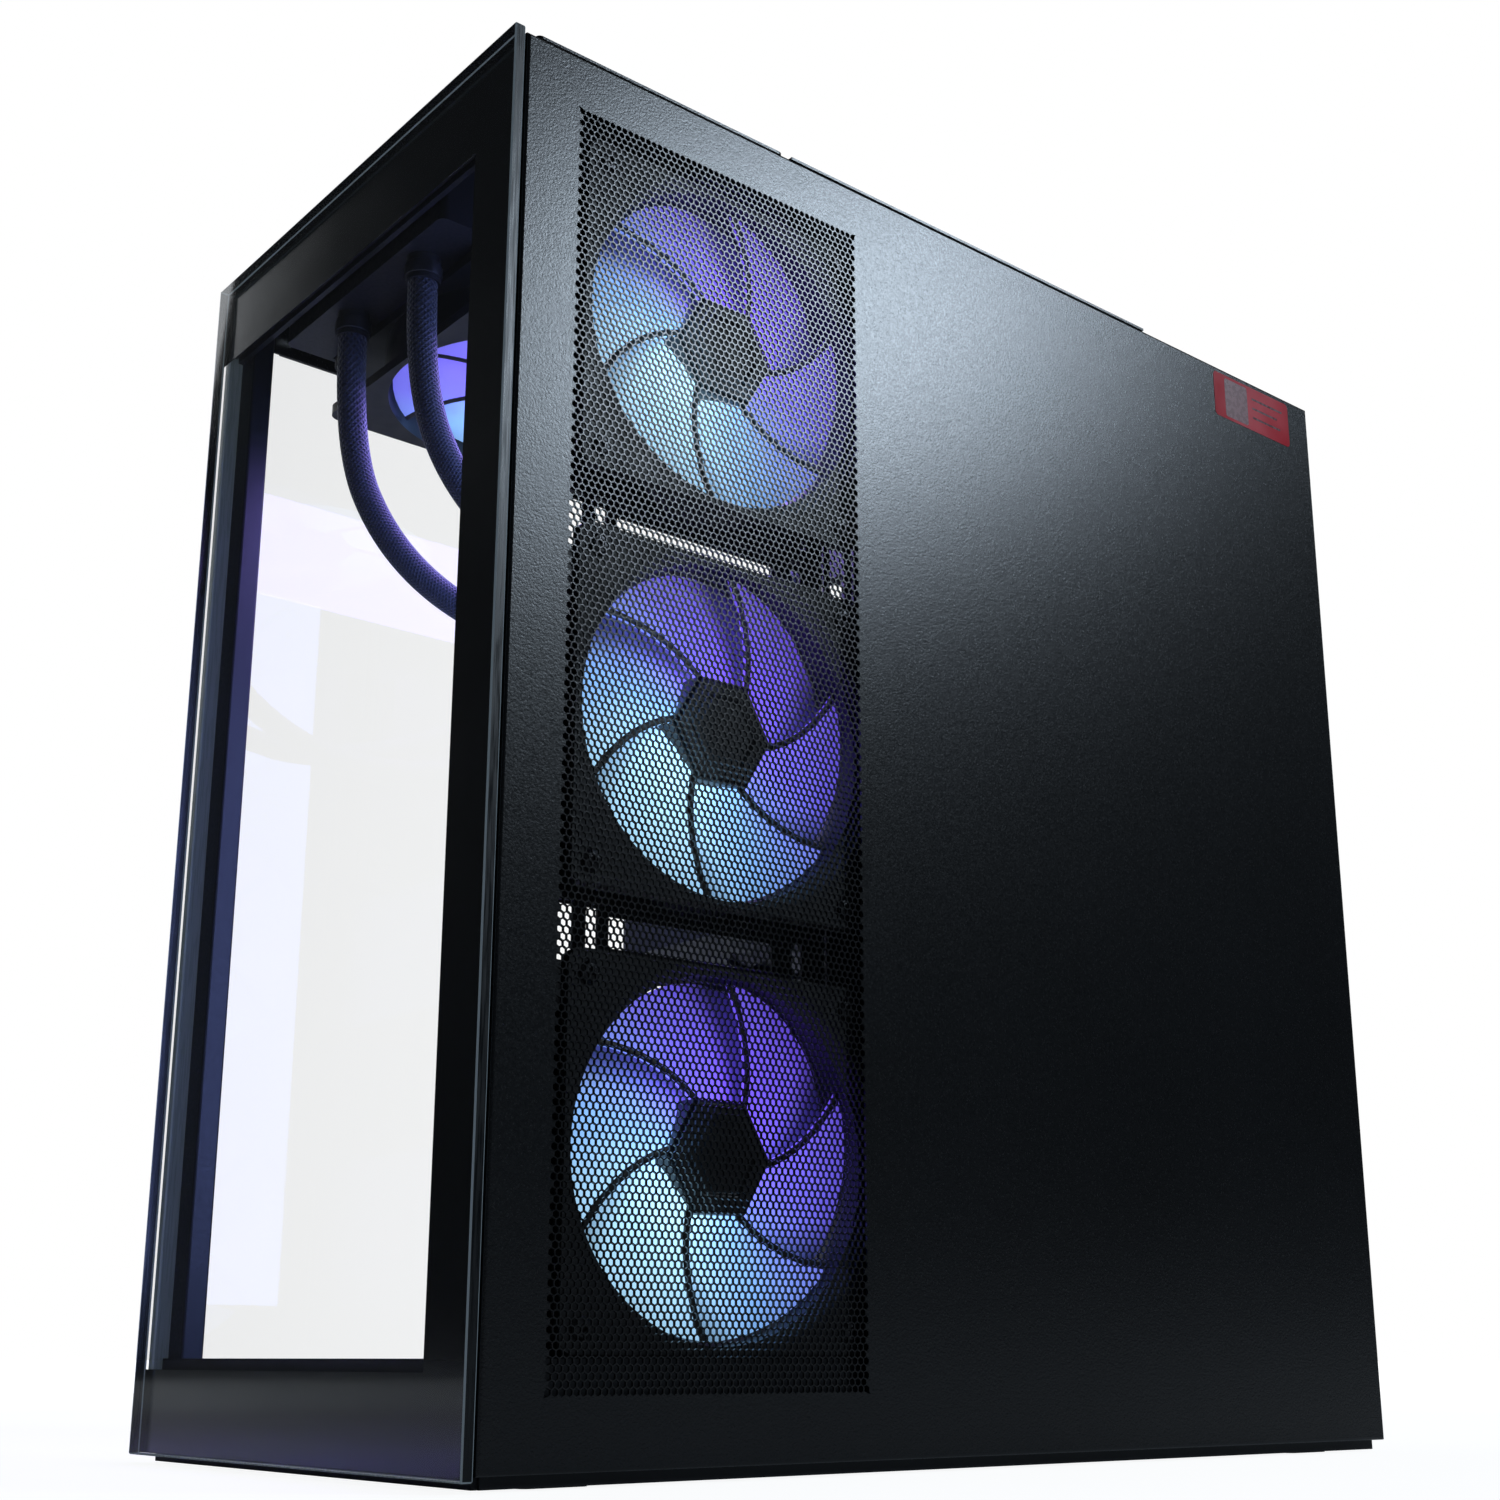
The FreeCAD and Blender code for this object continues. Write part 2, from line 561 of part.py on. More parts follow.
def left_glass():
    glass = slab(0, GLASS_T, SIDE_Y0, CASE_D, SIDE_Z0, SIDE_Z1)
    return soft(glass, 0.6, lambda e: not along(X)(e))


def left_glass_rails():
    """Steel rails bonded to the inside of the left glass, with its snap pins."""
    rails = []
    for z in (RAIL_TOP_Z, RAIL_LOW_Z):
        rail = slab(GLASS_T, GLASS_T + RAIL_T, 26.0, CASE_D - 20.0, z - 6.0, z + 6.0)
        pins = [rod(PIN_R, V(GLASS_T, y, z), X, RAIL_T + PIN_REACH) for y in PIN_YS]
        rails.append(fused(rail, pins).Solids[0])
    return Part.makeCompound(rails)


FIELD_Y1 = VENT_Y0 + (VENT_COLUMNS - 1) * VENT_PITCH
FIELD_Z1 = VENT_Z0 + (VENT_ROWS - 1) * VENT_PITCH * math.sqrt(0.75)


def vent_field():
    """Punched area of the right panel, as a plain plate in the panel's window."""
    m = VENT_MARGIN
    return slab(PANEL_X0, CASE_W, VENT_Y0 - m, FIELD_Y1 + m, VENT_Z0 - m, FIELD_Z1 + m)


def right_panel():
    """Folded steel panel with a returned edge all round, riveted snap pins and a window for the
    punched area."""
    outer = slab(CASE_W - PANEL_LIP, CASE_W, SIDE_Y0, CASE_D, SIDE_Z0, SIDE_Z1)
    outer = soft(outer, 1.2, lambda e: not along(X)(e) and e.Vertexes[0].X > CASE_W - 0.1)
    t = PANEL_T
    inner = slab(0, CASE_W - t, SIDE_Y0 + t, CASE_D - t, SIDE_Z0 + t, SIDE_Z1 - t)
    pins = []
    for y, z in SIDE_PINS:
        pins.append(rod(PIN_R + 2.5, V(PANEL_X0 - 0.8, y, z), X, 0.8))
        pins.append(rod(PIN_R, V(CHASSIS_X1 - SHEET - 2.0, y, z), X, PANEL_X0 - CHASSIS_X1 + SHEET + 2.0))
    return fused(outer.cut(inner).cut(vent_field()), pins)


LABEL_L = 53.6
LABEL_H = 21.2
LABEL_T = 0.1
LABEL_FROM_REAR = 15.0
LABEL_FROM_TOP = 2.5


def panel_label():
    """Film label stuck on the panel near its top rear corner."""
    y1 = CASE_D - LABEL_FROM_REAR
    z1 = SIDE_Z1 - LABEL_FROM_TOP
    label = slab(CASE_W, CASE_W + LABEL_T, y1 - LABEL_L, y1, z1 - LABEL_H, z1)
    return soft(label, 2.0, along(X))


TOP_FILTER_X1 = TRAY_X0 - 8.0
TOP_FILTER_X0 = 25.0
TOP_FILTER_Y0 = 16.0
TOP_FILTER_T = 3.0
FILTER_RIM = 8.0


def top_filter():
    """Framed dust filter that lies in the roof's recess, with a pull tab."""
    x0 = TOP_FILTER_X0
    y1 = REAR_Y0 - 6.0
    z0 = ROOF_TOP + 0.3
    frame = slab(x0, TOP_FILTER_X1, TOP_FILTER_Y0, y1, z0, z0 + TOP_FILTER_T)
    frame = soft(frame, 4.0, along(Z))
    rim = FILTER_RIM
    recess = slab(x0 + rim, TOP_FILTER_X1 - rim, TOP_FILTER_Y0 + rim, y1 - rim, z0 + 1.0, z0 + 4.0)
    tab = slab(x0 + 60, x0 + 110, y1 - 6.0, y1 - 1.0, z0 + 2.0, z0 + 6.5)
    return fused(frame.cut(recess), [tab])


def bottom_filter():
    """Framed dust filter under the power supply that slides out to the rear."""
    frame = slab(FILTER_X0, FILTER_X1, FILTER_Y0, REAR_Y0 - 1.0, FILTER_Z0, FILTER_Z0 + FILTER_T)
    rim = FILTER_RIM
    recess = slab(FILTER_X0 + rim, FILTER_X1 - rim, FILTER_Y0 + rim, REAR_Y0 - rim - 4.0,
                  FILTER_Z0 + 1, FILTER_Z0 + 4)
    middle = (FILTER_X0 + FILTER_X1) / 2.0
    tab = slab(middle - 20, middle + 20, REAR_Y0 - 4.0, REAR_Y0 - 1.0, FILTER_Z0 - 8.0, FILTER_Z0 + 1.0)
    return fused(frame.cut(recess), [tab])


# Controls and ports on the top edge ------------------------------------------------------------

def port_hole(y, length, width, gap):
    return slab(CONTROL_X - width / 2 - gap, CONTROL_X + width / 2 + gap,
                y - length / 2 - gap, y + length / 2 + gap, 0, CASE_H + 1)


def io_strip():
    """Plastic strip along the top right edge that holds the controls and ports."""
    cap = slab(STRIP_X0, STRIP_X1, STRIP_Y0, STRIP_Y1, CAP_Z0, CAP_Z1)
    cap = soft(cap, 2.0, along(Z))
    skirt = slab(CHIN_X0, CHIN_X1, STRIP_Y0 + 3, STRIP_Y1 - 3, ROOF_TOP, CAP_Z0)
    hollow = slab(CHIN_X0 + 1.5, CHIN_X1 - 1.5, STRIP_Y0 + 5, STRIP_Y1 - 5, ROOF_TOP - 1, CAP_Z0)
    strip = fused(cap, [skirt.cut(hollow)])
    low = V(CONTROL_X, 0, ROOF_TOP)
    cutters = [rod(POWER_R + BUTTON_GAP, low + Y * POWER_Y, Z, 20)]
    cutters.append(rod(RESET_R + BUTTON_GAP, low + Y * RESET_Y, Z, 20))
    cutters.append(rod(JACK_R, low + Y * JACK_Y, Z, 20))
    cutters += [port_hole(y, USB_L, USB_W, 0) for y in USB_Y]
    cutters.append(port_hole(USBC_Y, USBC_L, USBC_W, 0))
    return strip.cut(Part.makeCompound(cutters))


IO_BOARD_Z0 = ROOF_TOP - 5.0


def button(y, radius):
    """Button cap with a collar that stops it under the strip, and a stem."""
    z_top = CASE_H
    stem_z = IO_BOARD_Z0 + 1.6 + BUTTON_TRAVEL + 0.4
    cap = rod(radius, V(CONTROL_X, y, CAP_Z0 - 2.0), Z, z_top - CAP_Z0 + 2.0)
    cap = soft(cap, 0.5, lambda e: e.Vertexes[0].Z > z_top - 0.1)
    collar = rod(radius + 1.0, V(CONTROL_X, y, CAP_Z0 - 2.0), Z, 1.7)
    stem = rod(1.6, V(CONTROL_X, y, stem_z), Z, CAP_Z0 - stem_z - 1.0)
    return fused(cap, [collar, stem])


def socket_shell(y, length, width, wall):
    """Metal shell of a USB socket with its contact tongue."""
    z0 = IO_BOARD_Z0 + 1.6
    y0 = y - length / 2.0
    y1 = y + length / 2.0
    x0 = CONTROL_X - width / 2.0
    x1 = CONTROL_X + width / 2.0
    outer = slab(x0, x1, y0, y1, z0, CAP_Z1)
    inner = slab(x0 + wall, x1 - wall, y0 + wall, y1 - wall, z0 + 1.0, CAP_Z1 + 1)
    tongue = slab(CONTROL_X - 0.5, CONTROL_X + 0.5, y0 + 1.5, y1 - 1.5, z0, CAP_Z1 - 0.8)
    return fused(outer.cut(inner), [tongue]).Solids[0]


def io_board():
    """Circuit board under the strip with the USB sockets and the headset jack soldered to it."""
    board = slab(CONTROL_X - 6.5, CONTROL_X + 5.5, 20.0, 106.0, IO_BOARD_Z0, IO_BOARD_Z0 + 1.6)
    shells = [socket_shell(y, USB_L, USB_W, 0.4) for y in USB_Y]
    shells.append(socket_shell(USBC_Y, USBC_L, USBC_W, 0.35))
    jack = rod(JACK_R, V(CONTROL_X, JACK_Y, IO_BOARD_Z0 + 1.6), Z, CAP_Z1 - IO_BOARD_Z0 - 1.6)
    jack = jack.cut(rod(1.8, V(CONTROL_X, JACK_Y, IO_BOARD_Z0 + 3.0), Z, 30))
    return fused(board, shells + [jack])


# Cooling ---------------------------------------------------------------------------------------

HOSE_Y = RAD_Y0 + 10.0
HOSE_OUTER_X = RAD_X0 + 38.0
HOSE_INNER_X = RAD_X0 + 91.0
FITTING_L = 10.0
HOSE_TOP_Z = RAD_Z0 - FITTING_L
ELBOW_L = 12.0
PUMP_X0 = BOARD_X0 - 4.0 - PUMP_H
PORT_X = PUMP_X0 + HOSE_D / 2.0 + 3.0
PORT_Y = CPU_Y - PUMP_R + 2.0
HOSE_END_Y = PORT_Y - ELBOW_L
HOSE_LEAD = 52.0        # straight stretch into the pump's elbows
PORT_LOW_Z = CPU_Z - 12.0
PORT_HIGH_Z = CPU_Z + 12.0

# Bends of the two hoses, measured from the radiator's fitting: towards the right panel, back, down
HOSE_OUTER_BENDS = ((0, 0, 45), (4, 17, 82), (11, 48, 105), (22, 90, 114), (37, 147, 106))
HOSE_INNER_BENDS = ((0, 0, 37), (1, 14, 72), (2.5, 43, 95.5), (4, 84, 104), (5, 141, 91))


def hose_route(fitting_x, bends, port_z):
    """Centre-line points of a hose, from the radiator's fitting to the pump's elbow."""
    top = V(fitting_x, HOSE_Y, HOSE_TOP_Z)
    middle = [top + V(across, back, -down) for across, back, down in bends]
    return [top] + middle + [V(PORT_X, HOSE_END_Y - HOSE_LEAD, port_z), V(PORT_X, HOSE_END_Y, port_z)]


def hose(points, label):
    """Plain tube along straight runs joined by tangent arcs."""
    edges = []
    start = points[0]
    for k in range(1, len(points) - 1):
        before = points[k - 1] - points[k]
        after = points[k + 1] - points[k]
        turn = math.pi - before.getAngle(after)
        reach = 0.45 * min(before.Length, after.Length)
        radius = reach / math.tan(turn / 2.0)
        print(label, k, "radius", round(radius, 1))
        u = before.normalize()
        w = after.normalize()
        first = points[k] + u * reach
        last = points[k] + w * reach
        centre_way = (u + w).normalize()
        depth = radius / math.cos(turn / 2.0) - radius
        edges.append(Part.LineSegment(start, first).toShape())
        edges.append(Part.Arc(first, points[k] + centre_way * depth, last).toShape())
        start = last
    edges.append(Part.LineSegment(start, points[-1]).toShape())
    path = Part.Wire(edges)
    way = (points[1] - points[0]).normalize()
    ring = Part.Wire([Part.makeCircle(HOSE_D / 2.0, points[0], way)])
    tube = path.makePipeShell([ring], True, False)
    print(label, "length", round(path.Length, 1), "volume ratio",
          round(tube.Volume / (math.pi * HOSE_D ** 2 / 4.0 * path.Length), 4))
    return tube


def radiator():
    """Finned core between two end tanks, with the two hose fittings under the front tank."""
    x0 = RAD_X0
    x1 = RAD_X0 + RAD_W
    z0 = RAD_Z0
    z1 = RAD_Z0 + RAD_T
    front = slab(x0, x1, RAD_Y0, RAD_Y0 + RAD_TANK - 0.3, z0, z1)
    front = soft(front, 3.0, along(Z))
    back = slab(x0, x1, RAD_Y0 + RAD_L - RAD_TANK + 6, RAD_Y0 + RAD_L, z0, z1)
    back = soft(back, 3.0, along(Z))
    y0 = RAD_Y0 + RAD_TANK - 4
    y1 = RAD_Y0 + RAD_L - RAD_TANK + 8
    rails = [slab(x0, x0 + 2, y0, y1, z0, z1), slab(x1 - 2, x1, y0, y1, z0, z1)]
    core = slab(x0 + 1, x1 - 1, y0, y1, z0 + 3, z1 - 3)
    radius = HOSE_D / 2.0 + FITTING_WALL
    stubs = [rod(radius, V(x, HOSE_Y, HOSE_TOP_Z), Z, FITTING_L + 1) for x in (HOSE_OUTER_X, HOSE_INNER_X)]
    return fused(front, [back, core] + rails + stubs)


def pump_block():
    """Round pump over a cold plate, with two swivel elbows towards the front."""
    body = rod(PUMP_R, V(PUMP_X0, CPU_Y, CPU_Z), X, PUMP_H - 4.0)
    body = soft(body, 2.0, lambda e: e.Vertexes[0].X < PUMP_X0 + 0.1)
    x1 = PUMP_X0 + PUMP_H
    plate = slab(x1 - 6.0, x1, CPU_Y - 28, CPU_Y + 28, CPU_Z - 28, CPU_Z + 28)
    ears = slab(x1 - 6.0, x1 - 3.5, CPU_Y - 40, CPU_Y + 40, CPU_Z - 36, CPU_Z + 36)
    radius = HOSE_D / 2.0 + FITTING_WALL
    ports = [rod(radius, V(PORT_X, HOSE_END_Y, z), Y, ELBOW_L + 16) for z in (PORT_LOW_Z, PORT_HIGH_Z)]
    return fused(body, [plate, ears] + ports)


# Computer boards -------------------------------------------------------------------------------

def motherboard():
    """Circuit board on brass standoffs."""
    board = slab(BOARD_X0, BOARD_X1, BOARD_Y0, BOARD_Y1, BOARD_Z0, BOARD_Z1)
    posts = []
    for y in (BOARD_Y0 + 8, BOARD_Y0 + 120, BOARD_Y1 - 8):
        for z in (BOARD_Z0 + 8, BOARD_Z0 + 150, BOARD_Z1 - 8):
            posts.append(rod(2.8, V(BOARD_X1 - 0.5, y, z), X, STANDOFF + 0.5))
    return fused(board, posts)


RAM_Y1 = CPU_Y - 46.0
RAM_Z1 = RAD_FAN_Z0 - 4.0
RAM_X0 = BOARD_X0 - 5.0 - RAM_H


def ram_modules():
    """Memory modules in heat spreaders, each a separate solid."""
    modules = []
    for k in range(RAM_COUNT):
        y = RAM_Y1 - k * RAM_PITCH
        shell = slab(RAM_X0, BOARD_X0 - 5.0, y - RAM_T, y, RAM_Z1 - RAM_L, RAM_Z1)
        modules.append(soft(shell, 1.0, lambda e: e.Vertexes[0].X < RAM_X0 + 0.1 and e.Length > 10))
    return Part.makeCompound(modules)


def board_sockets():
    """The board's sockets: processor with its socket, memory, expansion and main power."""
    parts = [slab(PUMP_X0 + PUMP_H, BOARD_X0, CPU_Y - 26, CPU_Y + 26, CPU_Z - 26, CPU_Z + 26)]
    z0 = RAM_Z1 - RAM_L - 3.0
    for k in range(RAM_COUNT):
        y = RAM_Y1 - k * RAM_PITCH
        parts.append(slab(BOARD_X0 - 5.0, BOARD_X0, y - RAM_T - 0.5, y + 0.5, z0, RAM_Z1 + 3.0))
    y1 = REAR_Y0 - 52.0
    parts.append(slab(BOARD_X0 - 11.0, BOARD_X0, y1 - 89, y1, GPU_SLOT_Z - 3.7, GPU_SLOT_Z + 3.7))
    z = GPU_SLOT_Z - 3 * SLOT_PITCH
    parts.append(slab(BOARD_X0 - 11.0, BOARD_X0, y1 - 25, y1, z - 3.7, z + 3.7))
    parts.append(slab(BOARD_X0 - 11.0, BOARD_X0, y1 - 89, y1, z - SLOT_PITCH - 3.7, z - SLOT_PITCH + 3.7))
    parts.append(slab(BOARD_X0 - 13.0, BOARD_X0, BOARD_Y0 + 3, BOARD_Y0 + 13, RAM_Z1 - 70, RAM_Z1 - 18))
    return Part.makeCompound(parts)


HEATSINK_GAP = 4.0      # between the converter heatsinks and the cooler


def board_heatsinks():
    """Finned aluminium blocks over the voltage converters and the chipset."""
    x1 = BOARD_X0
    top_x0 = RAD_X0 + RAD_W + HEATSINK_GAP
    top = slab(top_x0, x1, CPU_Y - 34, CPU_Y + 50, BOARD_Z1 - 26, BOARD_Z1 - 5)
    slot = slab(top_x0 - 1, x1 - 6, CPU_Y - 30, CPU_Y - 27, BOARD_Z1 - 27, BOARD_Z1)
    top = top.cut(Part.makeCompound(slots(9, V(0, 9, 0), slot)))
    rear_z1 = RAD_FAN_Z0 - HEATSINK_GAP
    rear = slab(x1 - 28, x1, CPU_Y + 50, CPU_Y + 68, CPU_Z - 44, rear_z1)
    slot = slab(x1 - 29, x1 - 8, CPU_Y + 49, CPU_Y + 69, CPU_Z - 38, CPU_Z - 34)
    rear = rear.cut(Part.makeCompound(slots(8, V(0, 0, 11), slot)))
    chipset = slab(x1 - 9, x1, BOARD_Y0 + 12, BOARD_Y0 + 62, BOARD_Z0 + 20, BOARD_Z0 + 72)
    return Part.makeCompound([top, rear, soft(chipset, 3.0, along(X))])


REAR_PORTS = 7
REAR_PORT_PITCH = 21.0
REAR_PORT_W = 12.0
REAR_PORT_H = 14.0


def board_ports():
    """Cluster of sockets at the board's rear edge, under one cover."""
    x0 = IO_X0 + 2.0
    block = slab(x0, BOARD_X0, BOARD_Y1 - 13.0, REAR_Y1, IO_Z0 + 2.0, IO_Z1 - 2.0)
    cutters = []
    for k in range(REAR_PORTS):
        z = IO_Z0 + 7.0 + k * REAR_PORT_PITCH
        x = x0 + 6.0
        cutters.append(slab(x, x + REAR_PORT_W, REAR_Y1 - 10, REAR_Y1 + 1, z, z + REAR_PORT_H))
    return soft(block.cut(Part.makeCompound(cutters)), 3.0, lambda e: along(Y)(e) and e.Length > 20
                and e.Vertexes[0].X < x0 + 0.1)


# Graphics card ---------------------------------------------------------------------------------

GPU_X0 = GPU_X1 - GPU_W
GPU_Z0 = GPU_Z1 - GPU_T
GPU_FAN_X = (GPU_X0 + GPU_X1) / 2.0
GPU_ROTOR_T = 9.0
GPU_COOLER_Y1 = GPU_Y0 + GPU_L - 12.0
GPU_FAN_SPACE = (GPU_COOLER_Y1 - GPU_Y0 - 4.0 * GPU_FAN_R) / 3.0
GPU_FAN_Y = [GPU_Y0 + GPU_FAN_SPACE + GPU_FAN_R + k * (2.0 * GPU_FAN_R + GPU_FAN_SPACE) for k in range(2)]


def gpu_shroud():
    """Moulded cover of the card's cooler with a round opening and a fan axle for each fan."""
    outer = slab(GPU_X0, GPU_X1, GPU_Y0, GPU_COOLER_Y1, GPU_Z0, GPU_Z1)
    outer = soft(outer, 6.0, along(Z))
    t = GPU_WALL
    inner = slab(GPU_X0 + t, GPU_X1 - t, GPU_Y0 + t, GPU_COOLER_Y1 - t, GPU_Z0 + t, GPU_Z1 + 1)
    inner = soft(inner, 4.4, along(Z))
    shell = outer.cut(inner)
    pieces = []
    z = GPU_Z0 + GPU_ROTOR_T + 1.5
    for y in GPU_FAN_Y:
        shell = shell.cut(rod(GPU_FAN_R + TIP_GAP, V(GPU_FAN_X, y, GPU_Z0 - 1), Z, t + 2))
        pieces.append(slab(GPU_X0 + 1, GPU_X1 - 1, y - 2, y + 2, z, z + 2))
        pieces.append(rod(14.0, V(GPU_FAN_X, y, z), Z, 2.0))
        pieces.append(rod(AXLE_R, V(GPU_FAN_X, y, GPU_Z0 + 3.5), Z, GPU_ROTOR_T - 1.0))
    return fused(shell, pieces)


def gpu_rotor(y):
    """Small fan turning under the card: its open face looks down."""
    rotor = fan_rotor(GPU_FAN_R, 15.0, 0, 0.0, GPU_ROTOR_T, 9, GPU_ROTOR_T - 2.5)
    return facing(rotor, V(0, 0, -1), V(GPU_FAN_X, y, GPU_Z0 + GPU_ROTOR_T + 0.5))


def gpu_heatsink():
    """Fin block between the fans and the card's board, with its copper base."""
    z0 = GPU_Z0 + GPU_ROTOR_T + 5.0
    y0 = GPU_Y0 + 5.0
    y1 = GPU_COOLER_Y1 - 5.0
    block = slab(GPU_X0 + 5, GPU_X1 - 5, y0, y1, z0, GPU_Z1)
    cut = slab(GPU_X0 + 4, GPU_X1 - 4, y0 + 5, y0 + 8, z0 - 1, GPU_Z1 - 4)
    return block.cut(Part.makeCompound(slots(int((y1 - y0 - 10) // 7), V(0, 7, 0), cut)))


def gpu_board():
    """The card's circuit board, with the edge that plugs into the expansion socket."""
    y1 = GPU_Y0 + GPU_L
    board = slab(GPU_X0 + 4, GPU_X1 + 1.0, GPU_Y0 + 3, y1, GPU_Z1, GPU_Z1 + 1.6)
    edge = slab(GPU_X1, BOARD_X0 - 11.0, REAR_Y0 - 140.0, REAR_Y0 - 53.0, GPU_Z1, GPU_Z1 + 1.6)
    return fused(board, [edge])


def gpu_backplate():
    """Stiffening plate over the card's board."""
    plate = slab(GPU_X0 + 2, GPU_X1, GPU_Y0 + 1, GPU_Y0 + GPU_L - 2, GPU_Z1 + 1.6, GPU_Z1 + 3.2)
    plate = soft(plate, 5.0, along(Z))
    slot = slab(GPU_X0 + 20, GPU_X0 + 80, GPU_Y0 + 14, GPU_Y0 + 17, GPU_Z1, GPU_Z1 + 5)
    return plate.cut(Part.makeCompound(slots(7, V(0, 8, 0), slot)))


def gpu_bracket():
    """Steel bracket of the card behind the slots, with its video ports."""
    z0 = SLOT_TOP_Z - GPU_SLOTS * SLOT_PITCH + 1.0
    y1 = REAR_Y0
    plate = slab(SLOT_X0, SLOT_X1, y1 - 0.9, y1, z0, SLOT_TOP_Z - 0.5)
    ports = [slab(SLOT_X1 - 26 - 24 * k, SLOT_X1 - 8 - 24 * k, y1 - 11, y1 + 0.9, GPU_Z1 - 6.6, GPU_Z1)
             for k in range(4)]
    return fused(plate, ports)


def expansion_covers():
    """Blank plates behind the unused slots, each a separate solid."""
    covers = []
    for k in range(GPU_SLOTS, SLOT_COUNT):
        z1 = SLOT_TOP_Z - k * SLOT_PITCH - 0.5
        covers.append(slab(SLOT_X0, SLOT_X1, REAR_Y0 - 0.9, REAR_Y0, z1 - SLOT_PITCH + 1.5, z1))
    return Part.makeCompound(covers)


THUMBSCREW_R = 3.6


def slot_screws():
    """Knurled thumbscrews that hold the slot plates."""
    screws = []
    for k in range(SLOT_COUNT):
        z = SLOT_TOP_Z - k * SLOT_PITCH - 7.5
        head = rod(THUMBSCREW_R, V(SLOT_X0 + THUMBSCREW_R, REAR_Y1, z), Y, CASE_D + REAR_REACH - REAR_Y1)
        head = soft(head, 0.5, lambda e: e.Vertexes[0].Y > REAR_Y1 + 1)
        screws.append(head)
    return Part.makeCompound(screws)


# Power supply ------------------------------------------------------------------------

PSU_X1 = PSU_X0 + PSU_W
PSU_Z1 = PSU_Z0 + PSU_H
PSU_FAN_X = PSU_X0 + PSU_W / 2.0
PSU_FAN_Y = PSU_Y0 + PSU_L / 2.0
PSU_ROTOR_Z0 = PSU_Z0 + 4.0
PSU_ROTOR_T = 16.0
INLET_W = 27.6
INLET_H = 19.6
INLET_WALL = 1.3
INLET_FIT = 0.2
SWITCH_W = 10.8
SWITCH_GAP = 1.6


def psu_case():
    """Folded steel case with the fan opening below and its grille, and the vented rear face."""
    outer = slab(PSU_X0, PSU_X1, PSU_Y0, REAR_Y0, PSU_Z0, PSU_Z1)
    wall = PSU_WALL
    inner = slab(PSU_X0 + wall, PSU_X1 - wall, PSU_Y0 + wall, REAR_Y0 - wall, PSU_Z0 + wall, PSU_Z1 - wall)
    case = outer.cut(inner)
    case = case.cut(rod(PSU_FAN_R + 3.0, V(PSU_FAN_X, PSU_FAN_Y, PSU_Z0 - 1), Z, wall + 2))
    half_w = INLET_W / 2.0 + INLET_FIT
    half_h = INLET_H / 2.0 + INLET_FIT
    y0 = REAR_Y0 - 3
    y1 = REAR_Y0 + 1
    cutters = [slab(INLET_X - half_w, INLET_X + half_w, y0, y1, INLET_Z - half_h, INLET_Z + half_h)]
    half_w = SWITCH_W / 2.0 + SWITCH_GAP
    cutters.append(slab(SWITCH_X - half_w, SWITCH_X + half_w, y0, y1, INLET_Z - half_h, INLET_Z + half_h))
    slot = slab(SWITCH_X + 16, PSU_X1 - 12, y0, y1, PSU_Z0 + 12, PSU_Z0 + 16)
    cutters += slots(int((PSU_H - 20) // 8), V(0, 0, 8), slot)
    case = case.cut(Part.makeCompound(cutters))
    hub = rod(18.0, V(PSU_FAN_X, PSU_FAN_Y, PSU_Z0), Z, 2.0)
    bars = [slab(PSU_FAN_X - PSU_FAN_R - 5, PSU_FAN_X + PSU_FAN_R + 5, PSU_FAN_Y - 2, PSU_FAN_Y + 2,
                 PSU_Z0, PSU_Z0 + 1.2)]
    bars.append(slab(PSU_FAN_X - 2, PSU_FAN_X + 2, PSU_FAN_Y - PSU_FAN_R - 5, PSU_FAN_Y + PSU_FAN_R + 5,
                     PSU_Z0, PSU_Z0 + 1.2))
    axle = rod(AXLE_R, V(PSU_FAN_X, PSU_FAN_Y, PSU_Z0 + 1), Z, PSU_ROTOR_T - 1)
    return fused(case, bars + [hub, axle])


def psu_rotor():
    rotor = fan_rotor(PSU_FAN_R, 19.0, 0, 0.0, PSU_ROTOR_T, 7, PSU_ROTOR_T - 4.0)
    rotor.translate(V(PSU_FAN_X, PSU_FAN_Y, PSU_ROTOR_Z0))
    return rotor


def psu_circuit():
    """Converter board over the fan with its transformers, coolers and capacitors."""
    z0 = PSU_Z1 - PSU_WALL - 4.0
    board = slab(PSU_X0 + 4, PSU_X1 - 4, PSU_Y0 + 5, REAR_Y0 - 22, z0, z0 + 1.6)
    tall = [slab(PSU_X0 + 12, PSU_X0 + 16, PSU_Y0 + 20, REAR_Y0 - 40, z0 - 42, z0)]
    tall.append(slab(PSU_X1 - 30, PSU_X1 - 26, PSU_Y0 + 20, REAR_Y0 - 40, z0 - 42, z0))
    tall.append(slab(PSU_X0 + 50, PSU_X0 + 86, PSU_Y0 + 50, PSU_Y0 + 84, z0 - 36, z0))
    for k in range(3):
        tall.append(rod(9.0, V(PSU_X0 + 40 + 26 * k, PSU_Y0 + 24, z0 - 30), Z, 30))
    return fused(board, tall)


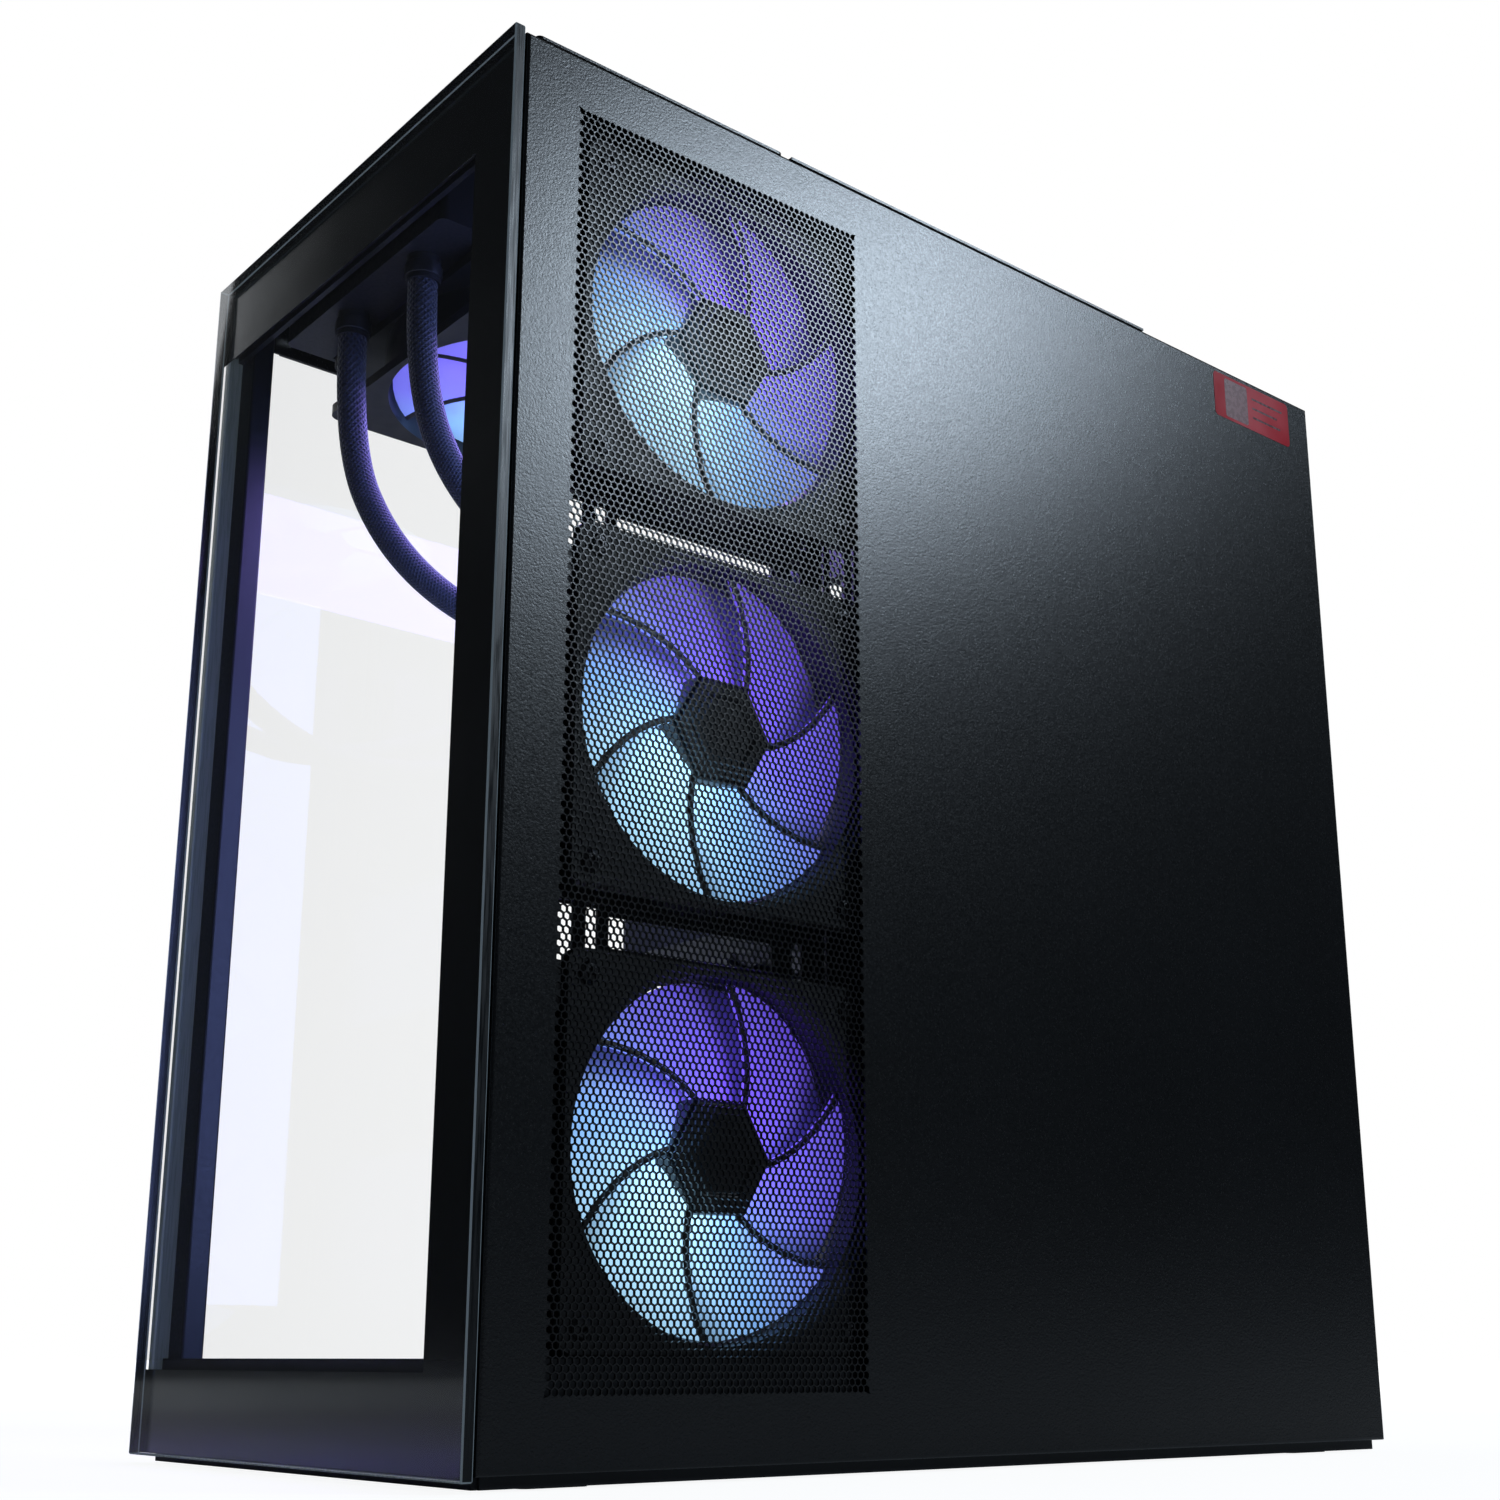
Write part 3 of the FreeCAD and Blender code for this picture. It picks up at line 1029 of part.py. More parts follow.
def power_inlet():
    """Mains inlet: a shrouded socket with three blades, for the usual detachable lead."""
    y0 = REAR_Y0 - 17.0
    y1 = REAR_Y0 + 2.0
    w = INLET_W / 2.0
    h = INLET_H / 2.0
    flange = slab(INLET_X - w, INLET_X + w, REAR_Y0 - 2.5, y1, INLET_Z - h, INLET_Z + h)
    w -= INLET_WALL
    h -= INLET_WALL
    body = slab(INLET_X - w, INLET_X + w, REAR_Y0 - 18, REAR_Y0 - 1, INLET_Z - h, INLET_Z + h)
    w -= 0.5
    h -= 0.7
    hollow = slab(INLET_X - w, INLET_X + w, REAR_Y0 - 16, y1 + 1, INLET_Z - h, INLET_Z + h)
    inlet = fused(flange, [body]).cut(hollow)
    blades = []
    for x, z in ((-7.0, -1.5), (7.0, -1.5), (0.0, 2.5)):
        blades.append(slab(x - 1.0, x + 1.0, y0, y1 - 5.0, z - 2.0, z + 2.0))
        blades[-1].translate(V(INLET_X, 0, INLET_Z))
    return fused(inlet, blades)


ROCKER_R = 8.4


def psu_switch():
    """Rocker of the power supply's switch, turning about a level axis."""
    y = REAR_Y0 - 3.0
    round_part = rod(ROCKER_R, V(SWITCH_X - SWITCH_W / 2.0, y - 3.0, INLET_Z), X, SWITCH_W)
    limit = slab(SWITCH_X - SWITCH_W, SWITCH_X + SWITCH_W, y - 4.0, REAR_Y0 + 6, INLET_Z - 9, INLET_Z + 9)
    return round_part.common(limit)


os.makedirs("parts", exist_ok=True)

for maker in (
    base_pan, feet, foot_pads, front_frame, corner_pillar, top_frame, rear_wall, motherboard_tray,
    side_fan_bracket, psu_shroud, front_glass, front_glass_carrier, left_glass, left_glass_rails,
    right_panel, panel_label, top_filter, bottom_filter, io_strip, io_board, radiator, pump_block,
    motherboard, ram_modules, board_sockets, board_heatsinks, board_ports, gpu_shroud, gpu_heatsink,
    gpu_board, gpu_backplate, gpu_bracket, expansion_covers, slot_screws, psu_case, psu_rotor,
    psu_circuit, power_inlet, psu_switch,
):
    save(maker.__name__, maker())

save("side_vent_field", vent_field())
save("power_button", button(POWER_Y, POWER_R))
save("reset_button", button(RESET_Y, RESET_R))
save("hose_outer", hose(hose_route(HOSE_OUTER_X, HOSE_OUTER_BENDS, PORT_LOW_Z), "hose_outer"))
save("hose_inner", hose(hose_route(HOSE_INNER_X, HOSE_INNER_BENDS, PORT_HIGH_Z), "hose_inner"))
for suffix, y in zip(("_front", "_back"), GPU_FAN_Y):
    save("gpu_rotor" + suffix, gpu_rotor(y))
for suffix, z in zip(("_low", "_mid", "_top"), SIDE_FAN_Z):
    save_fan("side_fan", suffix, X, V(TRAY_X1, SIDE_FAN_Y, z))
for suffix, y in zip(("_front", "_mid", "_back"), RAD_FAN_Y):
    save_fan("radiator_fan", suffix, V(0, 0, -1), V(RAD_FAN_X, y, RAD_Z0))
save_fan("rear_fan", "", V(0, -1, 0), V(REAR_FAN_X, REAR_Y0, REAR_FAN_Z))
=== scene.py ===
import math

import bmesh
import bpy
import numpy as np
from mathutils import Matrix, Vector


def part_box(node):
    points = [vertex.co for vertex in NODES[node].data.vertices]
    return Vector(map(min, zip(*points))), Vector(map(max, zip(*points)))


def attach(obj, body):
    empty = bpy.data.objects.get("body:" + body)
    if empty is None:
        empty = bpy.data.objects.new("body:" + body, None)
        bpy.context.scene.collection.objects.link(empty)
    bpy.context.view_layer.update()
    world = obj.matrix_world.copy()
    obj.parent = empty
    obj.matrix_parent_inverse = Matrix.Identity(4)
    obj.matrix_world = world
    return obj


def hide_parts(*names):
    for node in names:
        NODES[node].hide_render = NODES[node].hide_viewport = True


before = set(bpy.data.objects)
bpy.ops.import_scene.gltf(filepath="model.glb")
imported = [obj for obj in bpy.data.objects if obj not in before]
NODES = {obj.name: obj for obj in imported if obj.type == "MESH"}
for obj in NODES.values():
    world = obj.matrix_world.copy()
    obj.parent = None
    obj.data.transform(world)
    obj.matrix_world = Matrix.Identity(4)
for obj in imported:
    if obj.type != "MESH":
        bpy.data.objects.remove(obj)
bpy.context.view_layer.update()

MM = 0.001
X = Vector((1, 0, 0))
Y = Vector((0, 1, 0))
Z = Vector((0, 0, 1))


def span(node):
    """Lowest and highest corners of a CAD node, in millimetres."""
    lo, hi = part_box(node)
    return lo / MM, hi / MM


# Camera ----------------------------------------------------------------------------------------

CAMERA_PLACE = Vector((0.60048, -0.51783, 0.03601))
CAMERA_AZIMUTH = 50.49      # degrees from +y towards -x
CAMERA_RISE = 15.01
CAMERA_ROLL = 0.06
CAMERA_LENS = 47.73
CAMERA_SHIFT = (-0.0063, 0.0501)


def make_camera():
    data = bpy.data.cameras.new("camera")
    data.lens = CAMERA_LENS
    data.sensor_width = 36.0
    data.shift_x, data.shift_y = CAMERA_SHIFT
    data.clip_start = 0.01
    camera = bpy.data.objects.new("camera", data)
    turn = Matrix.Rotation(math.radians(CAMERA_AZIMUTH), 4, "Z")
    tilt = Matrix.Rotation(math.radians(90.0 + CAMERA_RISE), 4, "X")
    roll = Matrix.Rotation(math.radians(CAMERA_ROLL), 4, "Z")
    camera.matrix_world = Matrix.Translation(CAMERA_PLACE) @ turn @ tilt @ roll
    bpy.context.scene.collection.objects.link(camera)
    bpy.context.scene.camera = camera


make_camera()


# Node trees ------------------------------------------------------------------------------------

class Shader:
    """A material's node tree, with short calls for the nodes that the finishes share."""

    def __init__(self, name):
        self.material = bpy.data.materials.new(name)
        self.material.use_nodes = True
        self.tree = self.material.node_tree
        self.tree.nodes.clear()
        self.out = self.node("ShaderNodeOutputMaterial")
        self.place = self.node("ShaderNodeTexCoord").outputs["Object"]

    def node(self, kind, links=(), **settings):
        made = self.tree.nodes.new(kind)
        for key, value in settings.items():
            setattr(made, key, value)
        for socket, value in dict(links).items():
            self.feed(made.inputs[socket], value)
        return made

    def feed(self, socket, value):
        if isinstance(value, bpy.types.NodeSocket):
            self.tree.links.new(value, socket)
        else:
            socket.default_value = value

    def math(self, operation, a, b=0.0, clamp=False):
        return self.node("ShaderNodeMath", {0: a, 1: b}, operation=operation, use_clamp=clamp).outputs[0]

    def dot(self, vector, direction):
        made = self.node("ShaderNodeVectorMath", {0: vector, 1: direction}, operation="DOT_PRODUCT")
        return made.outputs["Value"]

    def stretched(self, scale):
        """Object coordinates scaled by axis."""
        made = self.node("ShaderNodeVectorMath", {0: self.place, 1: scale}, operation="MULTIPLY")
        return made.outputs["Vector"]

    def noise(self, scale, detail=2.0, rough=0.5, vector=None):
        made = self.node("ShaderNodeTexNoise", {"Vector": vector or self.place, "Scale": scale,
                                                "Detail": detail, "Roughness": rough})
        return made.outputs["Fac"]

    def cells(self, scale, feature="F1", vector=None):
        made = self.node("ShaderNodeTexVoronoi", {"Vector": vector or self.place, "Scale": scale},
                         feature=feature)
        return made.outputs["Distance"]

    def remap(self, value, low, high, out_low, out_high):
        links = {"Value": value, "From Min": low, "From Max": high,
                 "To Min": out_low, "To Max": out_high}
        return self.node("ShaderNodeMapRange", links).outputs["Result"]

    def mix(self, share, first, second, kind="MIX"):
        made = self.node("ShaderNodeMix", data_type="RGBA", blend_type=kind)
        self.feed(made.inputs["Factor"], share)
        self.feed(made.inputs[6], first)
        self.feed(made.inputs[7], second)
        return made.outputs[2]

    def ramp(self, value, stops):
        made = self.node("ShaderNodeValToRGB", {"Fac": value})
        points = made.color_ramp.elements
        while len(points) < len(stops):
            points.new(0.5)
        for point, (at, colour) in zip(points, stops):
            point.position = at
            point.color = colour
        return made.outputs["Color"]

    def bump(self, height, strength, reach, onto=None):
        links = {"Height": height, "Strength": strength, "Distance": reach * MM}
        if onto is not None:
            links["Normal"] = onto
        return self.node("ShaderNodeBump", links).outputs["Normal"]

    def edges(self, radius, low=0.02, high=0.25):
        """1 along the sharp edges of the shape and 0 elsewhere."""
        rounded = self.node("ShaderNodeBevel", {"Radius": radius * MM}, samples=4).outputs["Normal"]
        flat = self.node("ShaderNodeNewGeometry").outputs["Normal"]
        made = self.node("ShaderNodeVectorMath", {0: rounded, 1: flat}, operation="DOT_PRODUCT")
        return self.remap(self.math("SUBTRACT", 1.0, made.outputs["Value"]), low, high, 0.0, 1.0)

    def surface(self, **sockets):
        """Principled surface; keywords name its sockets with underscores for spaces."""
        links = {key.replace("_", " "): value for key, value in sockets.items()}
        made = self.node("ShaderNodeBsdfPrincipled", links)
        self.show(made)

    def show(self, shader):
        self.tree.links.new(shader.outputs[0], self.out.inputs["Surface"])


def grey(level):
    return (level, level, level, 1.0)


def shade(colour, share):
    return [min(1.0, c * share) for c in colour[:3]] + [1.0]


def paint(name, colour, grain=900.0, depth=0.10, rough=(0.40, 0.52), edge_grey=0.02, strength=0.35):
    """Powder coat: fine sandy grain, slow colour drift and lighter edges in patches."""
    s = Shader(name)
    fine = s.noise(grain, 2.0, 0.6)
    drift = s.noise(9.0, 3.0)
    base = s.mix(s.remap(drift, 0.3, 0.7, 0.0, 1.0), shade(colour, 0.85),
                 shade(colour, 1.15))
    # Lighter patches along the sharp edges.
    edge = s.math("MULTIPLY", s.edges(0.5), s.remap(s.noise(60.0, 3.0), 0.45, 0.75, 0.0, 1.0))
    base = s.mix(edge, base, grey(edge_grey + colour[0] * 2.0))
    s.surface(Base_Color=base, Roughness=s.remap(fine, 0.3, 0.7, *rough),
              Normal=s.bump(fine, strength, depth))
    return s.material


def moulded(name, colour, rough=(0.42, 0.58), grain=500.0, depth=0.05):
    """Moulded plastic with a fine spark-eroded texture and faint flow marks."""
    s = Shader(name)
    fine = s.cells(grain)
    flow = s.noise(14.0, 4.0, 0.55)
    base = s.mix(s.remap(flow, 0.35, 0.65, 0.0, 1.0), shade(colour, 0.8),
                 shade(colour, 1.2))
    base = s.mix(s.math("MULTIPLY", s.edges(0.35), 0.5), base, grey(colour[0] + 0.06))
    s.surface(Base_Color=base, Roughness=s.remap(s.noise(90.0, 3.0), 0.3, 0.7, *rough),
              Normal=s.bump(fine, 0.25, depth))
    return s.material


def metal(name, colour, rough=(0.22, 0.4), along=(40.0, 40.0, 900.0), marks=0.04):
    """Bare or plated metal, brushed along the axis with the smallest scale."""
    s = Shader(name)
    brushed = s.noise(1.0, 2.0, 0.6, s.stretched(along))
    smudge = s.noise(25.0, 4.0, 0.6)
    base = s.mix(s.remap(smudge, 0.3, 0.7, 0.0, 1.0), shade(colour, 0.82), colour)
    base = s.mix(s.math("MULTIPLY", s.edges(0.3), 0.4), base, grey(0.75))
    dull = s.math("ADD", brushed, s.math("MULTIPLY", smudge, 0.5))
    s.surface(Base_Color=base, Metallic=1.0, Roughness=s.remap(dull, 0.5, 1.0, *rough),
              Normal=s.bump(brushed, 0.15, marks))
    return s.material


def rubber(name, colour):
    s = Shader(name)
    dust = s.noise(120.0, 4.0, 0.65)
    base = s.mix(s.remap(dust, 0.5, 0.8, 0.0, 0.35), colour, grey(0.09))
    s.surface(Base_Color=base, Roughness=s.remap(dust, 0.3, 0.7, 0.7, 0.9),
              Normal=s.bump(s.noise(700.0, 2.0), 0.3, 0.06))
    return s.material


def glass_pane(name, tint, haze):
    """Thin clear pane: passes light straight on and mirrors by Fresnel, with faint smears."""
    s = Shader(name)
    clear = s.node("ShaderNodeBsdfTransparent", {"Color": tint})
    smear = s.remap(s.noise(18.0, 5.0, 0.6, s.stretched((1.0, 1.0, 0.4))), 0.35, 0.75, 0.01, haze)
    mirror = s.node("ShaderNodeBsdfGlossy", {"Color": (1, 1, 1, 1), "Roughness": smear})
    outside = s.math("SUBTRACT", 1.0, s.node("ShaderNodeNewGeometry").outputs["Backfacing"])
    share = s.math("MULTIPLY", s.node("ShaderNodeFresnel", {"IOR": 1.5}).outputs[0], outside)
    mixed = s.node("ShaderNodeMixShader", {0: share})
    s.feed(mixed.inputs[1], clear.outputs[0])
    s.feed(mixed.inputs[2], mirror.outputs[0])
    s.show(mixed)
    return s.material


def ground_glass(name, colour, glow):
    """Ground or polished edge of a pane, with fine grinding lines and a glow painted on as a painted
    highlight along the edge.
    """
    s = Shader(name)
    lines = s.noise(1.0, 2.0, 0.5, s.stretched((1500.0, 1500.0, 60.0)))
    base = s.mix(lines, shade(colour, 0.8), colour)
    # The emission is a painted highlight: the edge glows though no lamp is in it.
    s.surface(Base_Color=base, Roughness=s.remap(lines, 0.3, 0.7, 0.18, 0.4), IOR=1.5,
              Emission_Color=colour, Emission_Strength=glow, Normal=s.bump(lines, 0.2, 0.05))
    return s.material


def circuit(name, colour, track):
    """Solder mask over copper tracks and plated holes."""
    s = Shader(name)
    runs = s.math("SINE", s.dot(s.place, (0.0, 620.0, 620.0)))
    other = s.math("SINE", s.dot(s.place, (0.0, 0.0, 1500.0)))
    where = s.remap(s.noise(32.0, 1.0), 0.48, 0.52, 0.0, 1.0)
    lines = s.math("GREATER_THAN", s.mix(where, runs, other), 0.72)
    base = s.mix(s.math("MULTIPLY", lines, 0.6), colour, track)
    dots = s.math("LESS_THAN", s.cells(240.0), 0.12)
    base = s.mix(dots, base, (0.42, 0.36, 0.2, 1))
    s.surface(Base_Color=base, Roughness=s.remap(s.noise(300.0), 0.3, 0.7, 0.28, 0.42),
              Normal=s.bump(lines, 0.25, 0.05))
    return s.material


# Pieces ----------------------------------------------------------------------------------------

class Piece:
    """Closed shapes, in millimetres of the frame, collected into one visible piece."""

    def __init__(self):
        self.mesh = bmesh.new()

    def block(self, x0, x1, y0, y1, z0, z1):
        middle = Vector(((x0 + x1) / 2, (y0 + y1) / 2, (z0 + z1) / 2))
        size = Matrix.Diagonal((x1 - x0, y1 - y0, z1 - z0, 1))
        bmesh.ops.create_cube(self.mesh, size=1.0, matrix=Matrix.Translation(middle) @ size)
        return self

    def lathe(self, centre, axis, profile, sides=48, turn=0.0):
        """Turns a closed profile of (radius, height) points about an axis through the centre."""
        spin = Z.rotation_difference(axis).to_matrix()
        rings = []
        for k in range(sides):
            angle = turn + 2 * math.pi * k / sides
            way = Vector((math.cos(angle), math.sin(angle), 0))
            rings.append([self.mesh.verts.new(centre + spin @ (way * r + Z * h)) for r, h in profile])
        count = len(profile)
        for k in range(sides):
            here = rings[k]
            there = rings[(k + 1) % sides]
            for j in range(count):
                i = (j + 1) % count
                if profile[j][0] < 1e-6 and profile[i][0] < 1e-6:
                    continue
                self.mesh.faces.new((here[j], there[j], there[i], here[i]))
        return self

    def rod(self, centre, axis, radius, length, sides=32, turn=0.0):
        profile = [(0.0, 0.0), (radius, 0.0), (radius, length), (0.0, length)]
        return self.lathe(Vector(centre), axis, profile, sides, turn)

    def ring(self, centre, axis, inner, outer, length, sides=48):
        profile = [(inner, 0.0), (outer, 0.0), (outer, length), (inner, length)]
        return self.lathe(Vector(centre), axis, profile, sides)

    def sheet(self, rows, thick):
        """A curved sheet through rows of points, thickened along its own normals."""
        grid = np.array([[tuple(p) for p in row] for row in rows])
        across = np.gradient(grid, axis=0)
        down = np.gradient(grid, axis=1)
        normal = np.cross(across, down)
        normal /= np.maximum(np.linalg.norm(normal, axis=2, keepdims=True), 1e-9)
        sides = []
        for share in (0.5, -0.5):
            moved = grid + normal * thick * share
            sides.append([[self.mesh.verts.new(p) for p in row] for row in moved])
        m, n = grid.shape[:2]
        for i in range(m - 1):
            for j in range(n - 1):
                a, b = sides
                self.mesh.faces.new((a[i][j], a[i + 1][j], a[i + 1][j + 1], a[i][j + 1]))
                self.mesh.faces.new((b[i][j], b[i][j + 1], b[i + 1][j + 1], b[i + 1][j]))
        rim = [(i, 0) for i in range(m)] + [(m - 1, j) for j in range(1, n)]
        rim += [(i, n - 1) for i in range(m - 2, -1, -1)] + [(0, j) for j in range(n - 2, 0, -1)]
        for (i, j), (k, l) in zip(rim, rim[1:] + rim[:1]):
            a, b = sides
            self.mesh.faces.new((a[i][j], b[i][j], b[k][l], a[k][l]))
        return self

    def prism(self, outline, low, high, axis="z"):
        """Prism over an outline, which has the two coordinates other than the axis, in order."""
        at = {"x": lambda a, b, h: (h, a, b),
              "y": lambda a, b, h: (a, h, b),
              "z": lambda a, b, h: (a, b, h)}[axis]
        low, high = ([self.mesh.verts.new(at(a, b, h)) for a, b in outline] for h in (low, high))
        self.mesh.faces.new(low[::-1])
        self.mesh.faces.new(high)
        for k in range(len(outline)):
            j = (k + 1) % len(outline)
            self.mesh.faces.new((low[k], low[j], high[j], high[k]))
        return self

    def data(self, name):
        """The collected shapes as mesh data, in metres."""
        bm = self.mesh
        bmesh.ops.remove_doubles(bm, verts=bm.verts, dist=1e-4)
        bmesh.ops.recalc_face_normals(bm, faces=bm.faces)
        bmesh.ops.scale(bm, vec=(MM, MM, MM), verts=bm.verts)
        data = bpy.data.meshes.new(name)
        bm.to_mesh(data)
        bm.free()
        return data

    def done(self, name, body, material, slot, soft=0.0):
        """Makes the object: its edges rounded by soft millimetres, on a body of the frame."""
        return place_mesh(name, self.data(name), body, material, soft=soft)


def round_edges(piece, soft, limit):
    """Rounds the edges sharper than the limit, in degrees."""
    rounder = piece.modifiers.new("rounded edges", "BEVEL")
    rounder.width = soft * MM
    rounder.segments = 2
    rounder.limit_method = "ANGLE"
    rounder.angle_limit = math.radians(limit)
    rounder.use_clamp_overlap = True


def place_mesh(name, data, body, material, replaces=(), soft=0.0, angle=35.0, place=None):
    data.polygons.foreach_set("use_smooth", [True] * len(data.polygons))
    piece = bpy.data.objects.new(name, data)
    bpy.context.scene.collection.objects.link(piece)
    for each in (material if isinstance(material, (list, tuple)) else [material]):
        if each.name not in [m.name for m in data.materials if m]:
            data.materials.append(each)
    if soft:
        round_edges(piece, soft, 30.0)
    data.set_sharp_from_angle(angle=math.radians(angle))
    if place is not None:
        piece.matrix_world = place
    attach(piece, body)
    if replaces:
        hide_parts(*replaces)
    return piece


def finish(material, *nodes, soft=0.0):
    """Gives CAD nodes their material and, where asked, finely rounded edges."""
    for name in nodes:
        node = NODES[name]
        if node.material_slots:
            for each in node.material_slots:
                each.material = material
        else:
            node.data.materials.append(material)
        if soft:
            round_edges(node, soft, 50.0)


# Finishes --------------------------------------------------------------------------------------

CHASSIS_BLACK = paint("chassis paint", (0.010, 0.012, 0.016), 800.0, 0.08, (0.38, 0.5))
PANEL_BLACK = paint("panel powder coat", (0.0068, 0.0078, 0.0092), 1250.0, 0.10, (0.19, 0.28),
                    edge_grey=0.004, strength=0.5)
CARRIER_BLACK = paint("carrier paint", (0.012, 0.012, 0.014), 1200.0, 0.04, (0.45, 0.6))
PSU_BLACK = paint("power supply paint", (0.02, 0.02, 0.021), 500.0, 0.12, (0.45, 0.6))
PLASTIC = moulded("moulded plastic", (0.022, 0.023, 0.025))
FAN_PLASTIC = moulded("fan frame plastic", (0.014, 0.0145, 0.016), (0.34, 0.5))
GPU_PLASTIC = moulded("cooler plastic", (0.024, 0.025, 0.028), (0.34, 0.48))
DARK_BLADE = moulded("dark blades", (0.03, 0.031, 0.034), (0.25, 0.4), 300.0, 0.02)
SOCKET = moulded("socket plastic", (0.035, 0.035, 0.038), (0.4, 0.5), 700.0)
BUTTON = moulded("button plastic", (0.04, 0.042, 0.046), (0.2, 0.3), 900.0, 0.02)
RUBBER = rubber("foot rubber", (0.018, 0.018, 0.018, 1))
STEEL = metal("plated steel", (0.55, 0.56, 0.58, 1))
SCREW_BLACK = metal("black screws", (0.08, 0.08, 0.085, 1), (0.25, 0.45))
FINS = metal("aluminium fins", (0.72, 0.73, 0.74, 1), (0.2, 0.34), (900.0, 60.0, 60.0))
ANODISED = metal("anodised aluminium", (0.075, 0.08, 0.088, 1), (0.3, 0.42), (60.0, 1100.0, 60.0), 0.02)
RADIATOR_BLACK = paint("radiator paint", (0.018, 0.018, 0.02), 700.0, 0.06, (0.35, 0.5))
PUMP = moulded("pump plastic", (0.02, 0.02, 0.022), (0.16, 0.28), 900.0, 0.01)
BRASS = metal("gold contacts", (0.83, 0.62, 0.25, 1), (0.2, 0.35))
BOARD = circuit("solder mask", (0.012, 0.014, 0.018, 1), (0.03, 0.034, 0.042, 1))
CARD = circuit("card solder mask", (0.010, 0.012, 0.014, 1), (0.028, 0.03, 0.036, 1))


def label_film():
    """Glossy red film in slowly drifting reds; plain, the blank bars in place of print being separate
    pieces.
    """
    s = Shader("label film")
    wave = s.noise(30.0, 3.0)
    base = s.mix(s.remap(wave, 0.3, 0.7, 0.0, 1.0), (0.62, 0.005, 0.022, 1), (0.78, 0.010, 0.035, 1))
    s.surface(Base_Color=base, Roughness=s.remap(wave, 0.3, 0.7, 0.16, 0.26),
              Normal=s.bump(s.noise(160.0, 2.0), 0.15, 0.05))
    return s.material


def plain_print(name, colour):
    s = Shader(name)
    wear = s.noise(400.0, 3.0, 0.6)
    base = s.mix(s.remap(wear, 0.4, 0.7, 0.0, 0.4), colour, (0.35, 0.03, 0.05, 1))
    s.surface(Base_Color=base, Roughness=s.remap(wear, 0.3, 0.7, 0.2, 0.35))
    return s.material


def woven_sleeve():
    """Braided sleeve over a rubber hose: two crossing sets of strands."""
    s = Shader("hose sleeve")
    uv = s.node("ShaderNodeTexCoord").outputs["UV"]
    turns = s.dot(uv, (170.0, 14.0, 0.0))
    other = s.dot(uv, (170.0, -14.0, 0.0))
    first = s.math("SINE", s.math("MULTIPLY", turns, 2 * math.pi))
    second = s.math("SINE", s.math("MULTIPLY", other, 2 * math.pi))
    weave = s.math("MAXIMUM", first, second)
    base = s.mix(s.remap(weave, -0.2, 1.0, 0.0, 1.0), (0.002, 0.003, 0.008, 1), (0.016, 0.022, 0.052, 1))
    base = s.mix(s.remap(s.noise(40.0, 3.0), 0.45, 0.7, 0.0, 0.4), base, (0.028, 0.034, 0.060, 1))
    s.surface(Base_Color=base, Roughness=s.remap(weave, -1.0, 1.0, 0.75, 0.45), Sheen_Weight=0.3,
              Normal=s.bump(weave, 0.7, 0.35))
    return s.material


def lit_blades():
    """Milky blades lit from the hub: ice blue on one side of the fan, violet on the other, with painted
    shade at their deep ends.
    """
    s = Shader("lit blades")
    x_y = s.node("ShaderNodeSeparateXYZ", {0: s.place})
    reach = s.math("SQRT", s.math("ADD", s.math("MULTIPLY", x_y.outputs[0], x_y.outputs[0]),
                                  s.math("MULTIPLY", x_y.outputs[1], x_y.outputs[1])))
    side = s.math("DIVIDE", s.dot(s.place, (0.75, -0.66, 0.0)), s.math("MAXIMUM", reach, 0.01))
    side = s.math("ADD", side, s.math("MULTIPLY", s.math("SUBTRACT", s.noise(28.0, 2.0), 0.5), 0.5))
    hue = s.ramp(s.remap(side, -1.0, 1.0, 0.0, 1.0), [
        (0.0, (0.130, 0.065, 0.70, 1)), (0.35, (0.15, 0.12, 0.82, 1)), (0.55, (0.17, 0.24, 0.88, 1)),
        (0.72, (0.22, 0.48, 0.98, 1)), (1.0, (0.42, 0.74, 1.0, 1))])
    fade = s.remap(reach, 0.020, 0.056, 1.35, 0.62)
    mottle = s.remap(s.noise(90.0, 4.0, 0.6), 0.3, 0.7, 0.90, 1.10)
    # Painted shade: the glow drops to almost nothing at the blades' deep ends, so the gaps between
    # blades look dark.
    deep = s.remap(x_y.outputs[2], 0.0128, 0.0162, 0.03, 1.0)
    power = s.math("MULTIPLY", s.math("MULTIPLY", fade, mottle), s.math("MULTIPLY", deep, 1.3))
    s.surface(Base_Color=(0.30, 0.34, 0.42, 1), Roughness=s.remap(mottle, 0.88, 1.1, 0.3, 0.42),
              Emission_Color=hue, Emission_Strength=power, Normal=s.bump(s.noise(500.0), 0.1, 0.03))
    return s.material


def printed_border():
    """Black ceramic print behind the glass: deep gloss with a hint of blue."""
    s = Shader("printed border")
    drift = s.noise(12.0, 4.0)
    base = s.mix(drift, (0.0035, 0.0045, 0.0055, 1), (0.006, 0.007, 0.009, 1))
    s.surface(Base_Color=base, Roughness=s.remap(drift, 0.3, 0.7, 0.10, 0.16))
    return s.material


LABEL = label_film()
PRINT = plain_print("blank print", (0.10, 0.010, 0.02, 1))
LABEL_TAB = plain_print("label tab", (0.30, 0.16, 0.17, 1))
SLEEVE = woven_sleeve()
BLADES = lit_blades()
BORDER = printed_border()
FRONT_GLASS = glass_pane("front glass", (0.997, 0.999, 1.0, 1), 0.05)
SIDE_GLASS = glass_pane("side glass", (0.997, 0.999, 1.0, 1), 0.05)
# Painted highlight: the ground edge and the chamfer glow at 0.10; the printed edge does not glow.
GROUND_EDGE = ground_glass("ground glass edge", (0.20, 0.26, 0.29, 1), 0.10)
CHAMFER = ground_glass("polished chamfer", (0.34, 0.42, 0.47, 1), 0.10)
DARK_EDGE = ground_glass("printed glass edge", (0.004, 0.006, 0.008, 1), 0.0)


# Hoses -----------------------------------------------------------------------------------------

